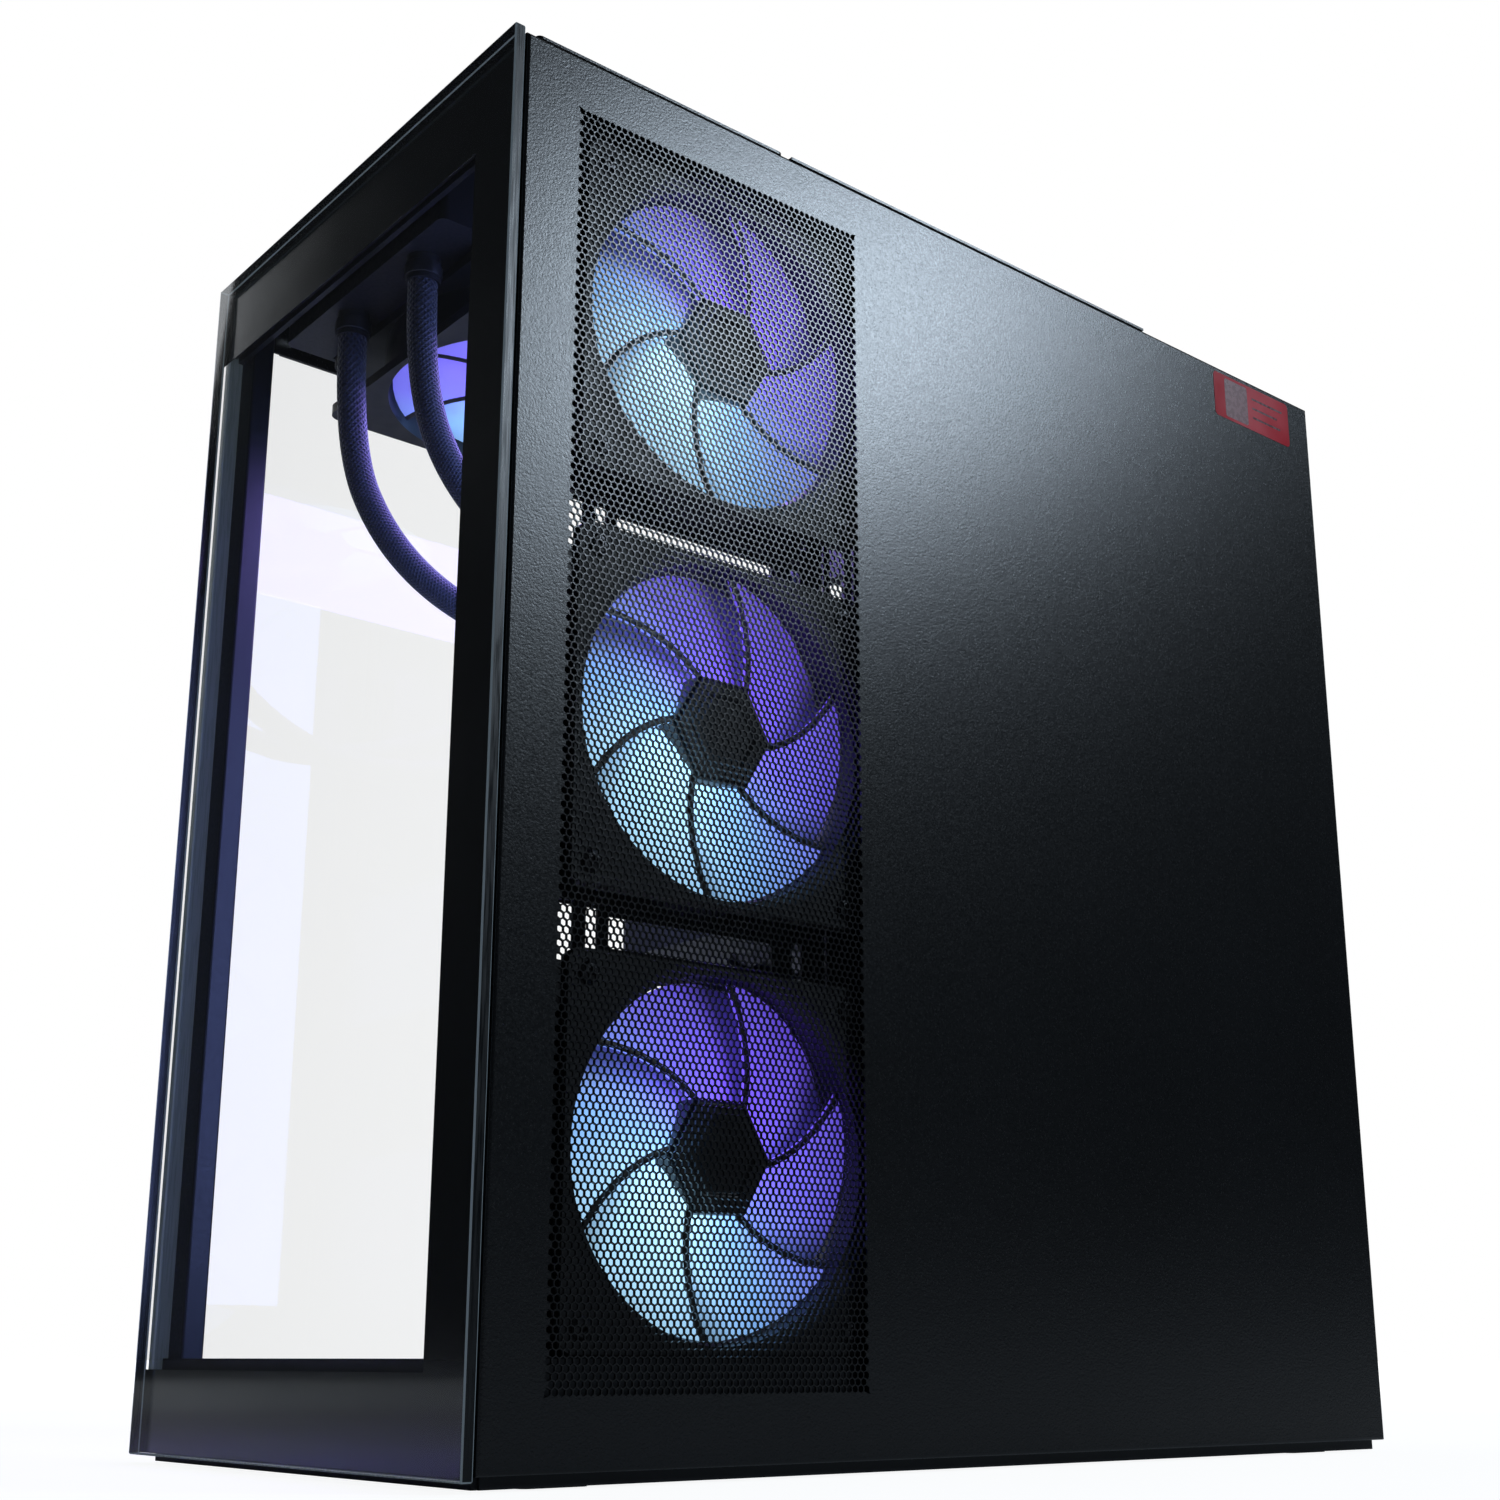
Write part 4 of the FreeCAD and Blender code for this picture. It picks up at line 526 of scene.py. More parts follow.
CASE_CORNER = Vector((112.5, 220.0, -3.0))    # the hoses' points count from the case's front left corner
HOSE_D = 11.0
HOSES = {
    "hose_outer": [(78, 22, 413), (78, 22, 368), (82, 39, 331), (89, 70, 308), (100, 112, 299),
                   (115, 169, 307), (138.4, 227, 333), (138.4, 279, 333)],
    "hose_inner": [(131, 22, 413), (131, 22, 376), (132, 36, 341), (133.5, 65, 317.5), (135, 106, 309),
                   (136, 163, 322), (138.4, 227, 357), (138.4, 279, 357)],
}


def make_hose(node, route):
    curve = bpy.data.curves.new(node + "_sleeved", "CURVE")
    curve.dimensions = "3D"
    line = curve.splines.new("NURBS")
    line.points.add(len(route) - 1)
    for point, place in zip(line.points, route):
        point.co = [c for c in (Vector(place) - CASE_CORNER) * MM] + [1.0]
    line.order_u = 3
    line.use_endpoint_u = True
    line.resolution_u = 24
    curve.bevel_depth = HOSE_D * MM / 2
    curve.bevel_resolution = 6
    curve.use_fill_caps = True
    curve.materials.append(SLEEVE)
    hose = bpy.data.objects.new(node + "_sleeved", curve)
    bpy.context.scene.collection.objects.link(hose)
    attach(hose, "chassis")
    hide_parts(node)


for node, route in HOSES.items():
    make_hose(node, route)


# Right panel -----------------------------------------------------------------------------------

VENT_PITCH = 2.49
VENT_COLUMNS = 50
VENT_ROWS = 193
VENT_HOLE_R = 1.19
VENT_BANDS = 3


def vent_sheets():
    """The punched sheet: a staggered field of six-sided holes, cut from a plate in bands."""
    lo, hi = span("side_vent_field")
    row_step = VENT_PITCH * math.sqrt(0.75)
    first = Vector((hi.x, (lo.y + hi.y) / 2 - VENT_PITCH * (VENT_COLUMNS - 1) / 2,
                    (lo.z + hi.z) / 2 - row_step * (VENT_ROWS - 1) / 2))
    last_y = first.y + VENT_PITCH * (VENT_COLUMNS - 1)
    last_z = first.z + row_step * (VENT_ROWS - 1)
    turn = np.radians(30 + 60 * np.arange(6))
    corner = np.stack([np.cos(turn), np.sin(turn)], 1)
    share = [VENT_ROWS * k // VENT_BANDS for k in range(VENT_BANDS + 1)]
    for band in range(VENT_BANDS):
        centres = []
        for row in range(share[band], share[band + 1]):
            odd = row % 2
            for column in range(VENT_COLUMNS - odd):
                centres.append((first.y + VENT_PITCH * (column + 0.5 * odd), first.z + row_step * row))
        centres = np.array(centres)
        outer = centres[:, None, :] + corner * VENT_PITCH / math.sqrt(3)
        tiny = 0.01
        y, z = outer[..., 0], outer[..., 1]
        y[y < first.y + tiny] = lo.y
        y[y > last_y - tiny] = hi.y
        z[z < first.z - tiny] = lo.z
        z[z > last_z + tiny] = hi.z
        inner = centres[:, None, :] + corner * VENT_HOLE_R
        points = np.concatenate([outer, inner], 1).reshape(-1, 2)
        points, where = np.unique(points.round(3), axis=0, return_inverse=True)
        where = where.reshape(len(centres), 12)
        following = (np.arange(6) + 1) % 6
        front = np.stack([where[:, :6], where[:, following], where[:, following + 6], where[:, 6:12]], 2)
        front = front.reshape(-1, 4)
        count = len(points)
        sides = np.stack([front, np.roll(front, -1, 1)], 2).reshape(-1, 2)
        sides = sides[sides[:, 0] != sides[:, 1]]
        key = np.sort(sides, 1)
        _, index, times = np.unique(key, axis=0, return_index=True, return_counts=True)
        open_sides = sides[index[times == 1]]
        walls = np.stack([open_sides[:, 1], open_sides[:, 0], open_sides[:, 0] + count,
                          open_sides[:, 1] + count], 1)
        faces = np.concatenate([front, front[:, ::-1] + count, walls])
        depth = np.concatenate([np.full(count, hi.x), np.full(count, lo.x)])
        body = np.column_stack([depth, np.tile(points, (2, 1))]) * MM
        data = bpy.data.meshes.new("vent sheet")
        data.from_pydata(body.tolist(), [], faces.tolist())
        data.validate()
        bm = bmesh.new()
        bm.from_mesh(data)
        bmesh.ops.dissolve_degenerate(bm, dist=1e-7, edges=bm.edges)
        bmesh.ops.recalc_face_normals(bm, faces=bm.faces)
        bm.to_mesh(data)
        bm.free()
        piece = place_mesh("vent_sheet_%d" % (band + 1), data, "right_cover", PANEL_BLACK,
                           angle=20.0)
        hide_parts("side_vent_field")


vent_sheets()
finish(PANEL_BLACK, "right_panel", "top_frame", "io_strip")


# Glass -----------------------------------------------------------------------------------------

BORDER_TOP = 33.5
BORDER_BOTTOM = 29.0
BORDER_RIGHT = 29.0
GLASS_CHAMFER = 0.5
GROUND_BAND = 6.0


def pane(node, body, axis, clear, edge, band=0.0):
    """A clear sheet with chamfered edges; a band of its inner face by the front edge may be ground."""
    lo, hi = span(node)
    bm = bmesh.new()
    bmesh.ops.create_cube(bm, size=1.0, matrix=Matrix.Translation((lo + hi) / 2) @
                          Matrix.Diagonal((*(hi - lo), 1)))
    bmesh.ops.bevel(bm, geom=bm.edges[:], offset=GLASS_CHAMFER, segments=1, affect="EDGES")
    if band:
        bmesh.ops.bisect_plane(bm, geom=bm.verts[:] + bm.edges[:] + bm.faces[:],
                               plane_co=(0, lo.y + band, 0), plane_no=Y)
    bm.normal_update()
    for face in bm.faces:
        square = max(abs(face.normal.dot(way)) for way in (X, Y, Z)) > 0.99
        if abs(face.normal.dot(axis)) > 0.99:
            ground = face.normal.dot(axis) > 0 and face.calc_center_median().y < lo.y + band
            face.material_index = 1 if ground else 0
        else:
            face.material_index = 1 if square else 2
    bmesh.ops.scale(bm, vec=(MM, MM, MM), verts=bm.verts)
    data = bpy.data.meshes.new(node)
    bm.to_mesh(data)
    bm.free()
    return place_mesh(node + "_pane", data, body, [clear, edge, CHAMFER], (node,), angle=10.0)


def front_print():
    """The black border printed on the back of the front glass: top, bottom and right."""
    lo, hi = span("front_glass")
    edge = GLASS_CHAMFER + 0.1
    x0, x1, z0, z1 = lo.x + edge, hi.x - edge, lo.z + edge, hi.z - edge
    inner_x, low, high = hi.x - BORDER_RIGHT, lo.z + BORDER_BOTTOM, hi.z - BORDER_TOP
    outline = [(x0, z0), (x1, z0), (x1, z1), (x0, z1),
               (x0, high), (inner_x, high), (inner_x, low), (x0, low)]
    Piece().prism(outline, hi.y - 0.25, hi.y - 0.05, "y").done(
        "front_glass_print", "front_cover", BORDER, "front_glass")


pane("front_glass", "front_cover", Y, FRONT_GLASS, DARK_EDGE)
pane("left_glass", "left_cover", X, SIDE_GLASS, GROUND_EDGE, GROUND_BAND)
front_print()


# Fans ------------------------------------------------------------------------------------------

HUB_R = 20.5
HUB_TOP = 24.4              # heights count from the back of the fan's frame
FAN_START = 30.0            # degrees; where the first blade and the hub's first corner stand
BLADES_EACH = 6
BLADE_SHARE = 360 / BLADES_EACH
BLADE_SWEEP = 27.0
BLADE_ROOT_R = HUB_R - 3.6
BLADE_TIP_R = 56.2
BLADE_LOW = 9.0
BLADE_HIGH = 21.4
BLADE_T = 1.5
BLADE_CAMBER = 1.2
BLADE_GAP = 2.0             # seen between neighbours, at the open face
BLADE_UNDER = 13.0          # reach beneath the neighbour
BLADE_ROWS = 9
LIP_T = 0.5


def polar(radius, degrees, height=0.0):
    angle = math.radians(degrees)
    return Vector((radius * math.cos(angle), radius * math.sin(angle), height))


def bend_at(u):
    """How far the blades are swept round at a share of the way from root to tip, in degrees."""
    return BLADE_SWEEP * (1.15 * u - 0.15 * u * u)


def swept_blade(piece, start):
    """One blade: its leading end lies deep, reaching under the blade before it, and its trailing end
    near the open face."""
    rows = []
    for i in range(BLADE_ROWS):
        u = i / (BLADE_ROWS - 1)
        radius = BLADE_ROOT_R + (BLADE_TIP_R - BLADE_ROOT_R) * u
        room = math.degrees(BLADE_GAP / radius)
        lead = math.degrees(BLADE_UNDER / radius)
        row = []
        for j in range(11):
            v = j / 10
            height = BLADE_LOW + (BLADE_HIGH - BLADE_LOW) * v + BLADE_CAMBER * math.sin(math.pi * v)
            angle = start + bend_at(u) + room / 2 - lead + v * (BLADE_SHARE - room + lead)
            row.append(polar(radius, angle, height))
        rows.append(row)
    piece.sheet(rows, BLADE_T)


def case_fan_blades():
    piece = Piece()
    for k in range(BLADES_EACH):
        swept_blade(piece, FAN_START + BLADE_SHARE * k)
    return piece


def case_fan_lips():
    """Dark stiffening lip along the edge of each blade that stands nearest the open face."""
    piece = Piece()
    root_r = HUB_R - 1.0
    for k in range(BLADES_EACH):
        rows = []
        for i in range(BLADE_ROWS):
            radius = root_r + (BLADE_TIP_R - root_r) * i / (BLADE_ROWS - 1)
            bend = bend_at((radius - BLADE_ROOT_R) / (BLADE_TIP_R - BLADE_ROOT_R))
            end = FAN_START + BLADE_SHARE * (k + 1) + bend - math.degrees(BLADE_GAP / radius) / 2
            rows.append([polar(radius, end - math.degrees(back / radius), BLADE_HIGH + rise)
                         for back, rise in ((2.1, 0.45), (1.0, 0.9), (-0.2, 0.8))])
        piece.sheet(rows, LIP_T)
    return piece


def case_fan_hub():
    """Six-sided hub with a rounded rim and a shallow round recess in its face."""
    profile = [(0, 4.0), (HUB_R, 4.0), (HUB_R, HUB_TOP - 1.2), (HUB_R - 1.2, HUB_TOP),
               (13.6, HUB_TOP), (13.0, HUB_TOP - 0.6), (0, HUB_TOP - 0.6)]
    return Piece().lathe(Vector((0, 0, 0)), Z, profile, BLADES_EACH, math.radians(FAN_START))


def at_fan(place, way):
    return Matrix.Translation(Vector(place) * MM) @ Z.rotation_difference(way).to_matrix().to_4x4()


def fan_places():
    """Each case fan's rotor node, the point at the back of its frame, and where its open face looks."""
    found = []
    for name in ("low", "mid", "top"):
        lo, hi = span("side_fan_frame_" + name)
        found.append(("side_fan_rotor_" + name, (lo.x, (lo.y + hi.y) / 2, (lo.z + hi.z) / 2), X))
    for name in ("front", "mid", "back"):
        lo, hi = span("radiator_fan_frame_" + name)
        found.append(("radiator_fan_rotor_" + name, ((lo.x + hi.x) / 2, (lo.y + hi.y) / 2, hi.z), -Z))
    lo, hi = span("rear_fan_frame")
    found.append(("rear_fan_rotor", ((lo.x + hi.x) / 2, hi.y, (lo.z + hi.z) / 2), -Y))
    return found


def make_case_fans():
    """Lips, blades and hub on every case fan's impeller; the fans share their meshes."""
    lips = case_fan_lips().data("case_fan_lips")
    blades = case_fan_blades().data("case_fan_blades")
    hub = case_fan_hub().data("case_fan_hub")
    for node, place, way in fan_places():
        body = node.replace("_rotor", "_impeller")
        where = at_fan(place, way)
        place_mesh(node + "_lips", lips, body, FAN_PLASTIC, place=where)
        place_mesh(node + "_blades", blades, body, BLADES, (node,), angle=50.0,
                   place=where)
        place_mesh(node + "_hub", hub, body, FAN_PLASTIC, soft=0.5, place=where)


make_case_fans()
finish(FAN_PLASTIC, *[n for n in NODES if "fan_frame" in n])


# Plain finishes of the remaining nodes -----------------------------------------------------------

finish(CHASSIS_BLACK, "base_pan", "front_frame", "corner_pillar", "rear_wall",
       "motherboard_tray", "side_fan_bracket", "psu_shroud", "expansion_covers")
finish(CARRIER_BLACK, "front_glass_carrier", "left_glass_rails")
finish(PLASTIC, "top_filter", "bottom_filter", soft=0.25)
finish(PLASTIC, "feet", soft=0.25)
finish(SCREW_BLACK, "slot_screws")
finish(RUBBER, "foot_pads", soft=0.4)
finish(BUTTON, "power_button", "reset_button", "psu_switch")
finish(LABEL, "panel_label")
finish(BOARD, "motherboard", "psu_circuit", "io_board")
finish(CARD, "gpu_board")
finish(SOCKET, "board_sockets", "power_inlet", soft=0.2)
finish(STEEL, "board_ports", "gpu_bracket")
finish(RADIATOR_BLACK, "radiator")
finish(PUMP, "pump_block")
finish(ANODISED, "ram_modules", "gpu_backplate", "board_heatsinks", soft=0.3)
finish(FINS, "gpu_heatsink")
finish(GPU_PLASTIC, "gpu_shroud", soft=0.3)
finish(DARK_BLADE, "gpu_rotor_front", "gpu_rotor_back", "psu_rotor")
finish(PSU_BLACK, "psu_case")


# Interior and rear details ----------------------------------------------------------------------

def light_bar(name, colour, strength):
    """Milky diffuser lit from inside, slightly uneven along its length."""
    s = Shader(name)
    cloud = s.remap(s.noise(70.0, 3.0), 0.3, 0.7, 0.7, 1.1)
    s.surface(Base_Color=(0.4, 0.42, 0.5, 1), Roughness=s.remap(cloud, 0.7, 1.1, 0.3, 0.45),
              Emission_Color=colour, Emission_Strength=s.math("MULTIPLY", cloud, strength))
    return s.material


def net(name):
    """Fine woven dust net: crossing threads with dark gaps."""
    s = Shader(name)
    first = s.math("SINE", s.dot(s.place, (5200.0, 0.0, 0.0)))
    second = s.math("SINE", s.dot(s.place, (0.0, 5200.0, 0.0)))
    weave = s.math("MAXIMUM", first, second)
    base = s.mix(s.remap(weave, 0.2, 0.9, 0.0, 1.0), (0.002, 0.002, 0.002, 1), (0.03, 0.031, 0.033, 1))
    s.surface(Base_Color=base, Roughness=s.remap(s.noise(60.0, 3.0), 0.3, 0.7, 0.5, 0.7),
              Normal=s.bump(weave, 0.6, 0.15))
    return s.material


VIOLET_BAR = light_bar("violet light bar", (0.20, 0.12, 0.95, 1), 1.6)
ICE_BAR = light_bar("ice light bar", (0.30, 0.65, 1.0, 1), 1.4)
NET = net("dust net")
SCREW_HEAD = [(0, 0), (3.6, 0), (3.6, 0.7), (2.7, 1.5), (1.4, 1.6), (1.4, 0.5), (0, 0.5)]
CAPACITOR = [(0, 0), (3.1, 0), (3.1, 1.0), (2.7, 1.6), (3.1, 2.2), (3.1, 6.2), (2.6, 6.7), (0, 6.7)]
FAN_SCREW_REACH = 52.5     # from the fan's axis, each way
FILTER_RIM = 8.0


def scaled(profile, share):
    return [(r * share, h * share) for r, h in profile]


def rounded(a0, a1, b0, b1, radius, steps=4):
    """Outline of a rectangle with rounded corners."""
    corners = ((a1 - radius, b1 - radius, 0), (a0 + radius, b1 - radius, 90),
               (a0 + radius, b0 + radius, 180), (a1 - radius, b0 + radius, 270))
    outline = []
    for a, b, start in corners:
        for k in range(steps + 1):
            angle = math.radians(start + 90 * k / steps)
            outline.append((a + radius * math.cos(angle), b + radius * math.sin(angle)))
    return outline


def case_fan_screws():
    """Screws through the corners of the side fans and of the rear fan."""
    corners = [(a, b) for a in (-FAN_SCREW_REACH, FAN_SCREW_REACH)
               for b in (-FAN_SCREW_REACH, FAN_SCREW_REACH)]
    heads = Piece()
    for name in ("low", "mid", "top"):
        lo, hi = span("side_fan_frame_" + name)
        middle = (lo + hi) / 2
        for y, z in corners:
            heads.lathe(Vector((hi.x, middle.y + y, middle.z + z)), X, SCREW_HEAD, 24)
    heads.done("side_fan_screws", "chassis", SCREW_BLACK, "port_steel")
    lo, hi = span("rear_fan_frame")
    wall = span("rear_wall")[1].y
    middle = (lo + hi) / 2
    heads = Piece()
    for x, z in corners:
        heads.lathe(Vector((middle.x + x, wall, middle.z + z)), Y, SCREW_HEAD, 24)
    heads.done("rear_fan_screws", "chassis", SCREW_BLACK, "port_steel")


RAM_PITCH = 9.4
RAM_T = 6.0
RAM_COUNT = 4


def memory_details():
    """Light bars on the free edges of the memory, and ribs pressed into its heat spreaders."""
    lo, hi = span("ram_modules")
    bars = Piece()
    ribs = Piece()
    for k in range(RAM_COUNT):
        y1 = hi.y - k * RAM_PITCH
        y0 = y1 - RAM_T
        bars.prism(rounded(lo.x - 1.2, lo.x + 2.5, y0 + 1.0, y1 - 1.0, 1.0), lo.z + 5, hi.z - 5, "z")
        for step in range(9):
            z = lo.z + 12 + 13 * step
            ribs.prism([(lo.x + 6, z), (lo.x + 22, z), (lo.x + 26, z + 6), (lo.x + 10, z + 6)],
                       y1 - 0.1, y1 + 0.5, "y")
    bars.done("memory_light_bars", "chassis", VIOLET_BAR, "heat_spreader", soft=0.2)
    ribs.done("memory_ribs", "chassis", ANODISED, "heat_spreader", soft=0.15)


PUMP_CENTRE_Y = 40.0     # from the mounting plate's rear edge


def pump_details():
    """Lit ring and domed cap on the pump's face, and the collars of its elbows."""
    lo, hi = span("pump_block")
    centre = Vector((lo.x, hi.y - PUMP_CENTRE_Y, (lo.z + hi.z) / 2))
    ring = Piece().lathe(centre, -X, [(23.5, -0.5), (27.5, -0.5), (27.5, 0.5), (26.8, 0.9), (24.2, 0.9),
                                      (23.5, 0.5)], 96)
    ring.done("pump_light_ring", "chassis", ICE_BAR, "pump_plastic")
    cap = Piece().lathe(centre, -X, [(0, -0.5), (22.6, -0.5), (22.6, 0.8), (21.6, 1.4), (12, 1.9),
                                     (0, 2.0)], 96)
    cap.done("pump_cap", "chassis", BORDER, "pump_plastic")
    collars = Piece()
    for route in HOSES.values():
        end = Vector(route[-1]) - CASE_CORNER
        collars.ring(end + Y * 1.0, Y, HOSE_D / 2 + 0.3, HOSE_D / 2 + 1.9, 5.0, 12)
        collars.ring(end + Y * 7.5, Y, HOSE_D / 2 + 0.3, HOSE_D / 2 + 1.5, 1.2, 48)
    collars.done("pump_collars", "chassis", PUMP, "pump_plastic", soft=0.3)
    collars = Piece()
    for route in HOSES.values():
        top = Vector(route[0]) - CASE_CORNER
        collars.ring(top + Z * 2.0, Z, HOSE_D / 2 + 0.6, HOSE_D / 2 + 1.5, 5.0, 12)
    collars.done("radiator_collars", "chassis", RADIATOR_BLACK, "radiator_paint", soft=0.25)


def board_details():
    """Chokes, capacitors, chips, drive covers and plugs on the motherboard, by distance from its
    front lower corner."""
    lo, hi = span("motherboard")
    face = lo.x

    def part(piece, y, z, length, height, tall, radius=0.6):
        y += lo.y
        z += lo.z
        outline = rounded(y - length / 2, y + length / 2, z - height / 2, z + height / 2, radius, 2)
        piece.prism(outline, face - tall, face, "x")

    chokes = Piece()
    for k in range(8):
        part(chokes, 114 + 10.5 * k, 254, 8, 8, 6)
    for k in range(7):
        part(chokes, 185, 182 + 11 * k, 8, 8, 6)
    chokes.done("board_chokes", "chassis", SOCKET, "socket_plastic", soft=0.2)
    cans = Piece()
    where = [(52, 160 + 12 * k) for k in range(7)] + [(100 + 9 * k, 268) for k in range(10)]
    where += [(215, 28 + 14 * k) for k in range(6)] + [(228, 28 + 14 * k) for k in range(6)]
    for y, z in where:
        cans.lathe(Vector((face, lo.y + y, lo.z + z)), -X, CAPACITOR, 20)
    cans.done("board_capacitors", "chassis", STEEL, "port_steel")
    chips = Piece()
    for k in range(64):
        y = 8 + (k * 0.6180339887 % 1) * 226
        z = 8 + (k * 0.7548776662 % 1) * 288
        part(chips, y, z, 2.5 + k % 4, 2.5 + k % 3 * 2, 1.2, 0.2)
    part(chips, 36, 110, 14, 14, 1.8, 0.4)
    part(chips, 228, 130, 12, 12, 1.8, 0.4)
    chips.done("board_chips", "chassis", SOCKET, "socket_plastic")
    covers = Piece()
    part(covers, 128, 142, 92, 22, 5.0, 2.5)
    part(covers, 118, 84, 92, 20, 4.0, 2.5)
    covers.done("drive_covers", "chassis", ANODISED, "heat_spreader", soft=0.4)
    screws = Piece()
    for y, z, tall in ((86, 142, 5.0), (78, 84, 4.0)):
        screws.lathe(Vector((face - tall, lo.y + y, lo.z + z)), -X, scaled(SCREW_HEAD, 0.6), 20)
    for y in (8, 120, 236):
        for z in (8, 150, 297):
            screws.lathe(Vector((face, lo.y + y, lo.z + z)), -X, scaled(SCREW_HEAD, 0.8), 20)
    screws.done("board_screws", "chassis", STEEL, "port_steel")
    plugs = Piece()
    for k in range(4):
        part(plugs, 6, 110 + 14 * k, 10, 11, 9, 0.4)
    for k in range(6):
        part(plugs, 90 + 20 * k, 6, 14, 5, 8, 0.3)
    plugs.done("board_plugs", "chassis", SOCKET, "socket_plastic")


def card_details():
    """Ridges and screws of the card's backplate, its lit side strip and its fans' hub caps."""
    lo, hi = span("gpu_backplate")
    ridges = Piece()
    for k in range(5):
        x = lo.x + 12 + 17 * k
        ridges.prism(rounded(x, x + 3.0, lo.y + 96, hi.y - 22, 1.4), hi.z - 0.2, hi.z + 0.7, "z")
    ridges.done("backplate_ridges", "chassis", ANODISED, "heat_spreader", soft=0.2)
    screws = Piece()
    for x in (lo.x + 6, hi.x - 6):
        for y in (lo.y + 8, lo.y + 92, lo.y + 176, hi.y - 8):
            screws.lathe(Vector((x, y, hi.z)), Z, scaled(SCREW_HEAD, 0.7), 20)
    screws.done("backplate_screws", "chassis", STEEL, "port_steel")
    lo, hi = span("gpu_shroud")
    strip = Piece().prism(rounded(lo.y + 40, hi.y - 40, hi.z - 18, hi.z - 13, 2.3),
                          lo.x - 0.8, lo.x + 1.0, "x")
    strip.done("card_light_strip", "chassis", ICE_BAR, "gpu_plastic", soft=0.25)
    ribs = Piece()
    for k in range(14):
        y = lo.y + 46 + (hi.y - lo.y - 92) * k / 13
        ribs.prism([(y, lo.z + 8), (y + 3, lo.z + 8), (y + 9, hi.z - 22), (y + 6, hi.z - 22)],
                   lo.x - 0.7, lo.x + 0.3, "x")
    ribs.done("card_side_ribs", "chassis", GPU_PLASTIC, "gpu_plastic", soft=0.2)
    for end in ("front", "back"):
        low, high = span("gpu_rotor_" + end)
        centre = Vector(((low.x + high.x) / 2, (low.y + high.y) / 2, low.z))
        cap = Piece().lathe(centre, Z, [(0, -0.4), (8.0, -0.4), (9.5, 0.0), (9.5, 2.0), (0, 2.0)], 48)
        cap.done("card_hub_cap_" + end, "gpu_impeller_" + end, STEEL, "port_steel")


REAR_PORTS = 7
REAR_PORT_PITCH = 21.0
COVER_COUNT = 3
SLOT_PITCH = 20.32


def rear_details():
    """Contact tongues inside the board's rear sockets, the card's socket mouths and beads on the slot
    covers.
    """
    lo, hi = span("board_ports")
    tongues = Piece()
    contacts = Piece()
    x = lo.x + 12.0
    for k in range(REAR_PORTS):
        z = lo.z + 12.0 + k * REAR_PORT_PITCH
        for side in (-2.6, 2.6):
            tongues.block(x + side - 0.7, x + side + 0.7, hi.y - 9.8, hi.y - 1.2, z - 5.4, z + 5.4)
            for step in range(4):
                at = z - 3.9 + 2.6 * step
                contacts.block(x + side + 0.65, x + side + 0.8, hi.y - 9.0, hi.y - 2.0,
                               at - 0.5, at + 0.5)
    tongues.done("rear_socket_tongues", "chassis", SOCKET, "socket_plastic", soft=0.15)
    contacts.done("rear_socket_contacts", "chassis", BRASS, "port_steel")
    lo, hi = span("gpu_bracket")
    mouths = Piece()
    top = span("gpu_board")[0].z
    for k in range(4):
        x1 = hi.x - 8 - 24 * k
        x0 = x1 - 18
        mouths.prism([(x0 + 1.2, top - 5.4), (x1 - 1.2, top - 5.4), (x1 - 1.2, top - 1.2),
                      (x0 + 3.0, top - 1.2), (x0 + 1.2, top - 2.8)], hi.y - 0.1, hi.y + 0.12, "y")
    mouths.done("card_socket_mouths", "chassis", SOCKET, "socket_plastic")
    low, high = span("expansion_covers")
    ribs = Piece()
    for k in range(COVER_COUNT):
        z = high.z - SLOT_PITCH * k - 10
        ribs.prism(rounded(low.x + 14, high.x - 14, z - 5.2, z + 5.2, 3),
                   high.y - 0.1, high.y + 0.7, "y")
    ribs.done("slot_cover_beads", "chassis", CHASSIS_BLACK, "chassis_paint", soft=0.3)


def filter_nets():
    """Dust nets stretched in the two filters' frames, with their cross ribs."""
    for node, body, count in (("top_filter", "roof_filter", 7), ("bottom_filter", "floor_filter", 5)):
        lo, hi = span(node)
        rim = FILTER_RIM
        back = hi.y - (12.0 if node == "bottom_filter" else rim)
        floor = (hi.z - 5.5 if node == "top_filter" else hi.z - 2.0)
        sheet = Piece().block(lo.x + rim, hi.x - rim, lo.y + rim, back, floor - 0.05, floor + 0.25)
        sheet.done(node + "_net", body, NET, "moulded_plastic")
        ribs = Piece()
        for k in range(1, count):
            y = lo.y + rim + (back - lo.y - rim) * k / count
            ribs.prism([(lo.x + rim, floor), (hi.x - rim, floor), (hi.x - rim, floor + 1.6),
                        (lo.x + rim, floor + 1.6)], y - 1.0, y + 1.0, "y")
        for k in (1, 2):
            x = lo.x + rim + (hi.x - lo.x - 2 * rim) * k / 3
            ribs.prism([(lo.y + rim, floor), (back, floor), (back, floor + 1.5),
                        (lo.y + rim, floor + 1.5)], x - 1.0, x + 1.0, "x")
        ribs.done(node + "_ribs", body, PLASTIC, "moulded_plastic")


def label_print():
    """Blank bars and a clear tab in place of the label's print."""
    lo, hi = span("panel_label")
    film = Piece()
    film.prism(rounded(lo.y + 7.5, lo.y + 23.5, lo.z + 1.4, hi.z - 1.4, 1.2),
               hi.x - 0.02, hi.x + 0.03, "x")
    film.done("label_tab", "right_cover", LABEL_TAB, "label_film")
    bars = Piece()
    for row, length in enumerate((22.0, 18.0, 20.0)):
        z = hi.z - 5.0 - 4.6 * row
        bars.prism([(lo.y + 27, z - 1.0), (lo.y + 27 + length, z - 1.0), (lo.y + 27 + length, z),
                    (lo.y + 27, z)], hi.x - 0.02, hi.x + 0.03, "x")
    bars.done("label_bars", "right_cover", PRINT, "label_film")


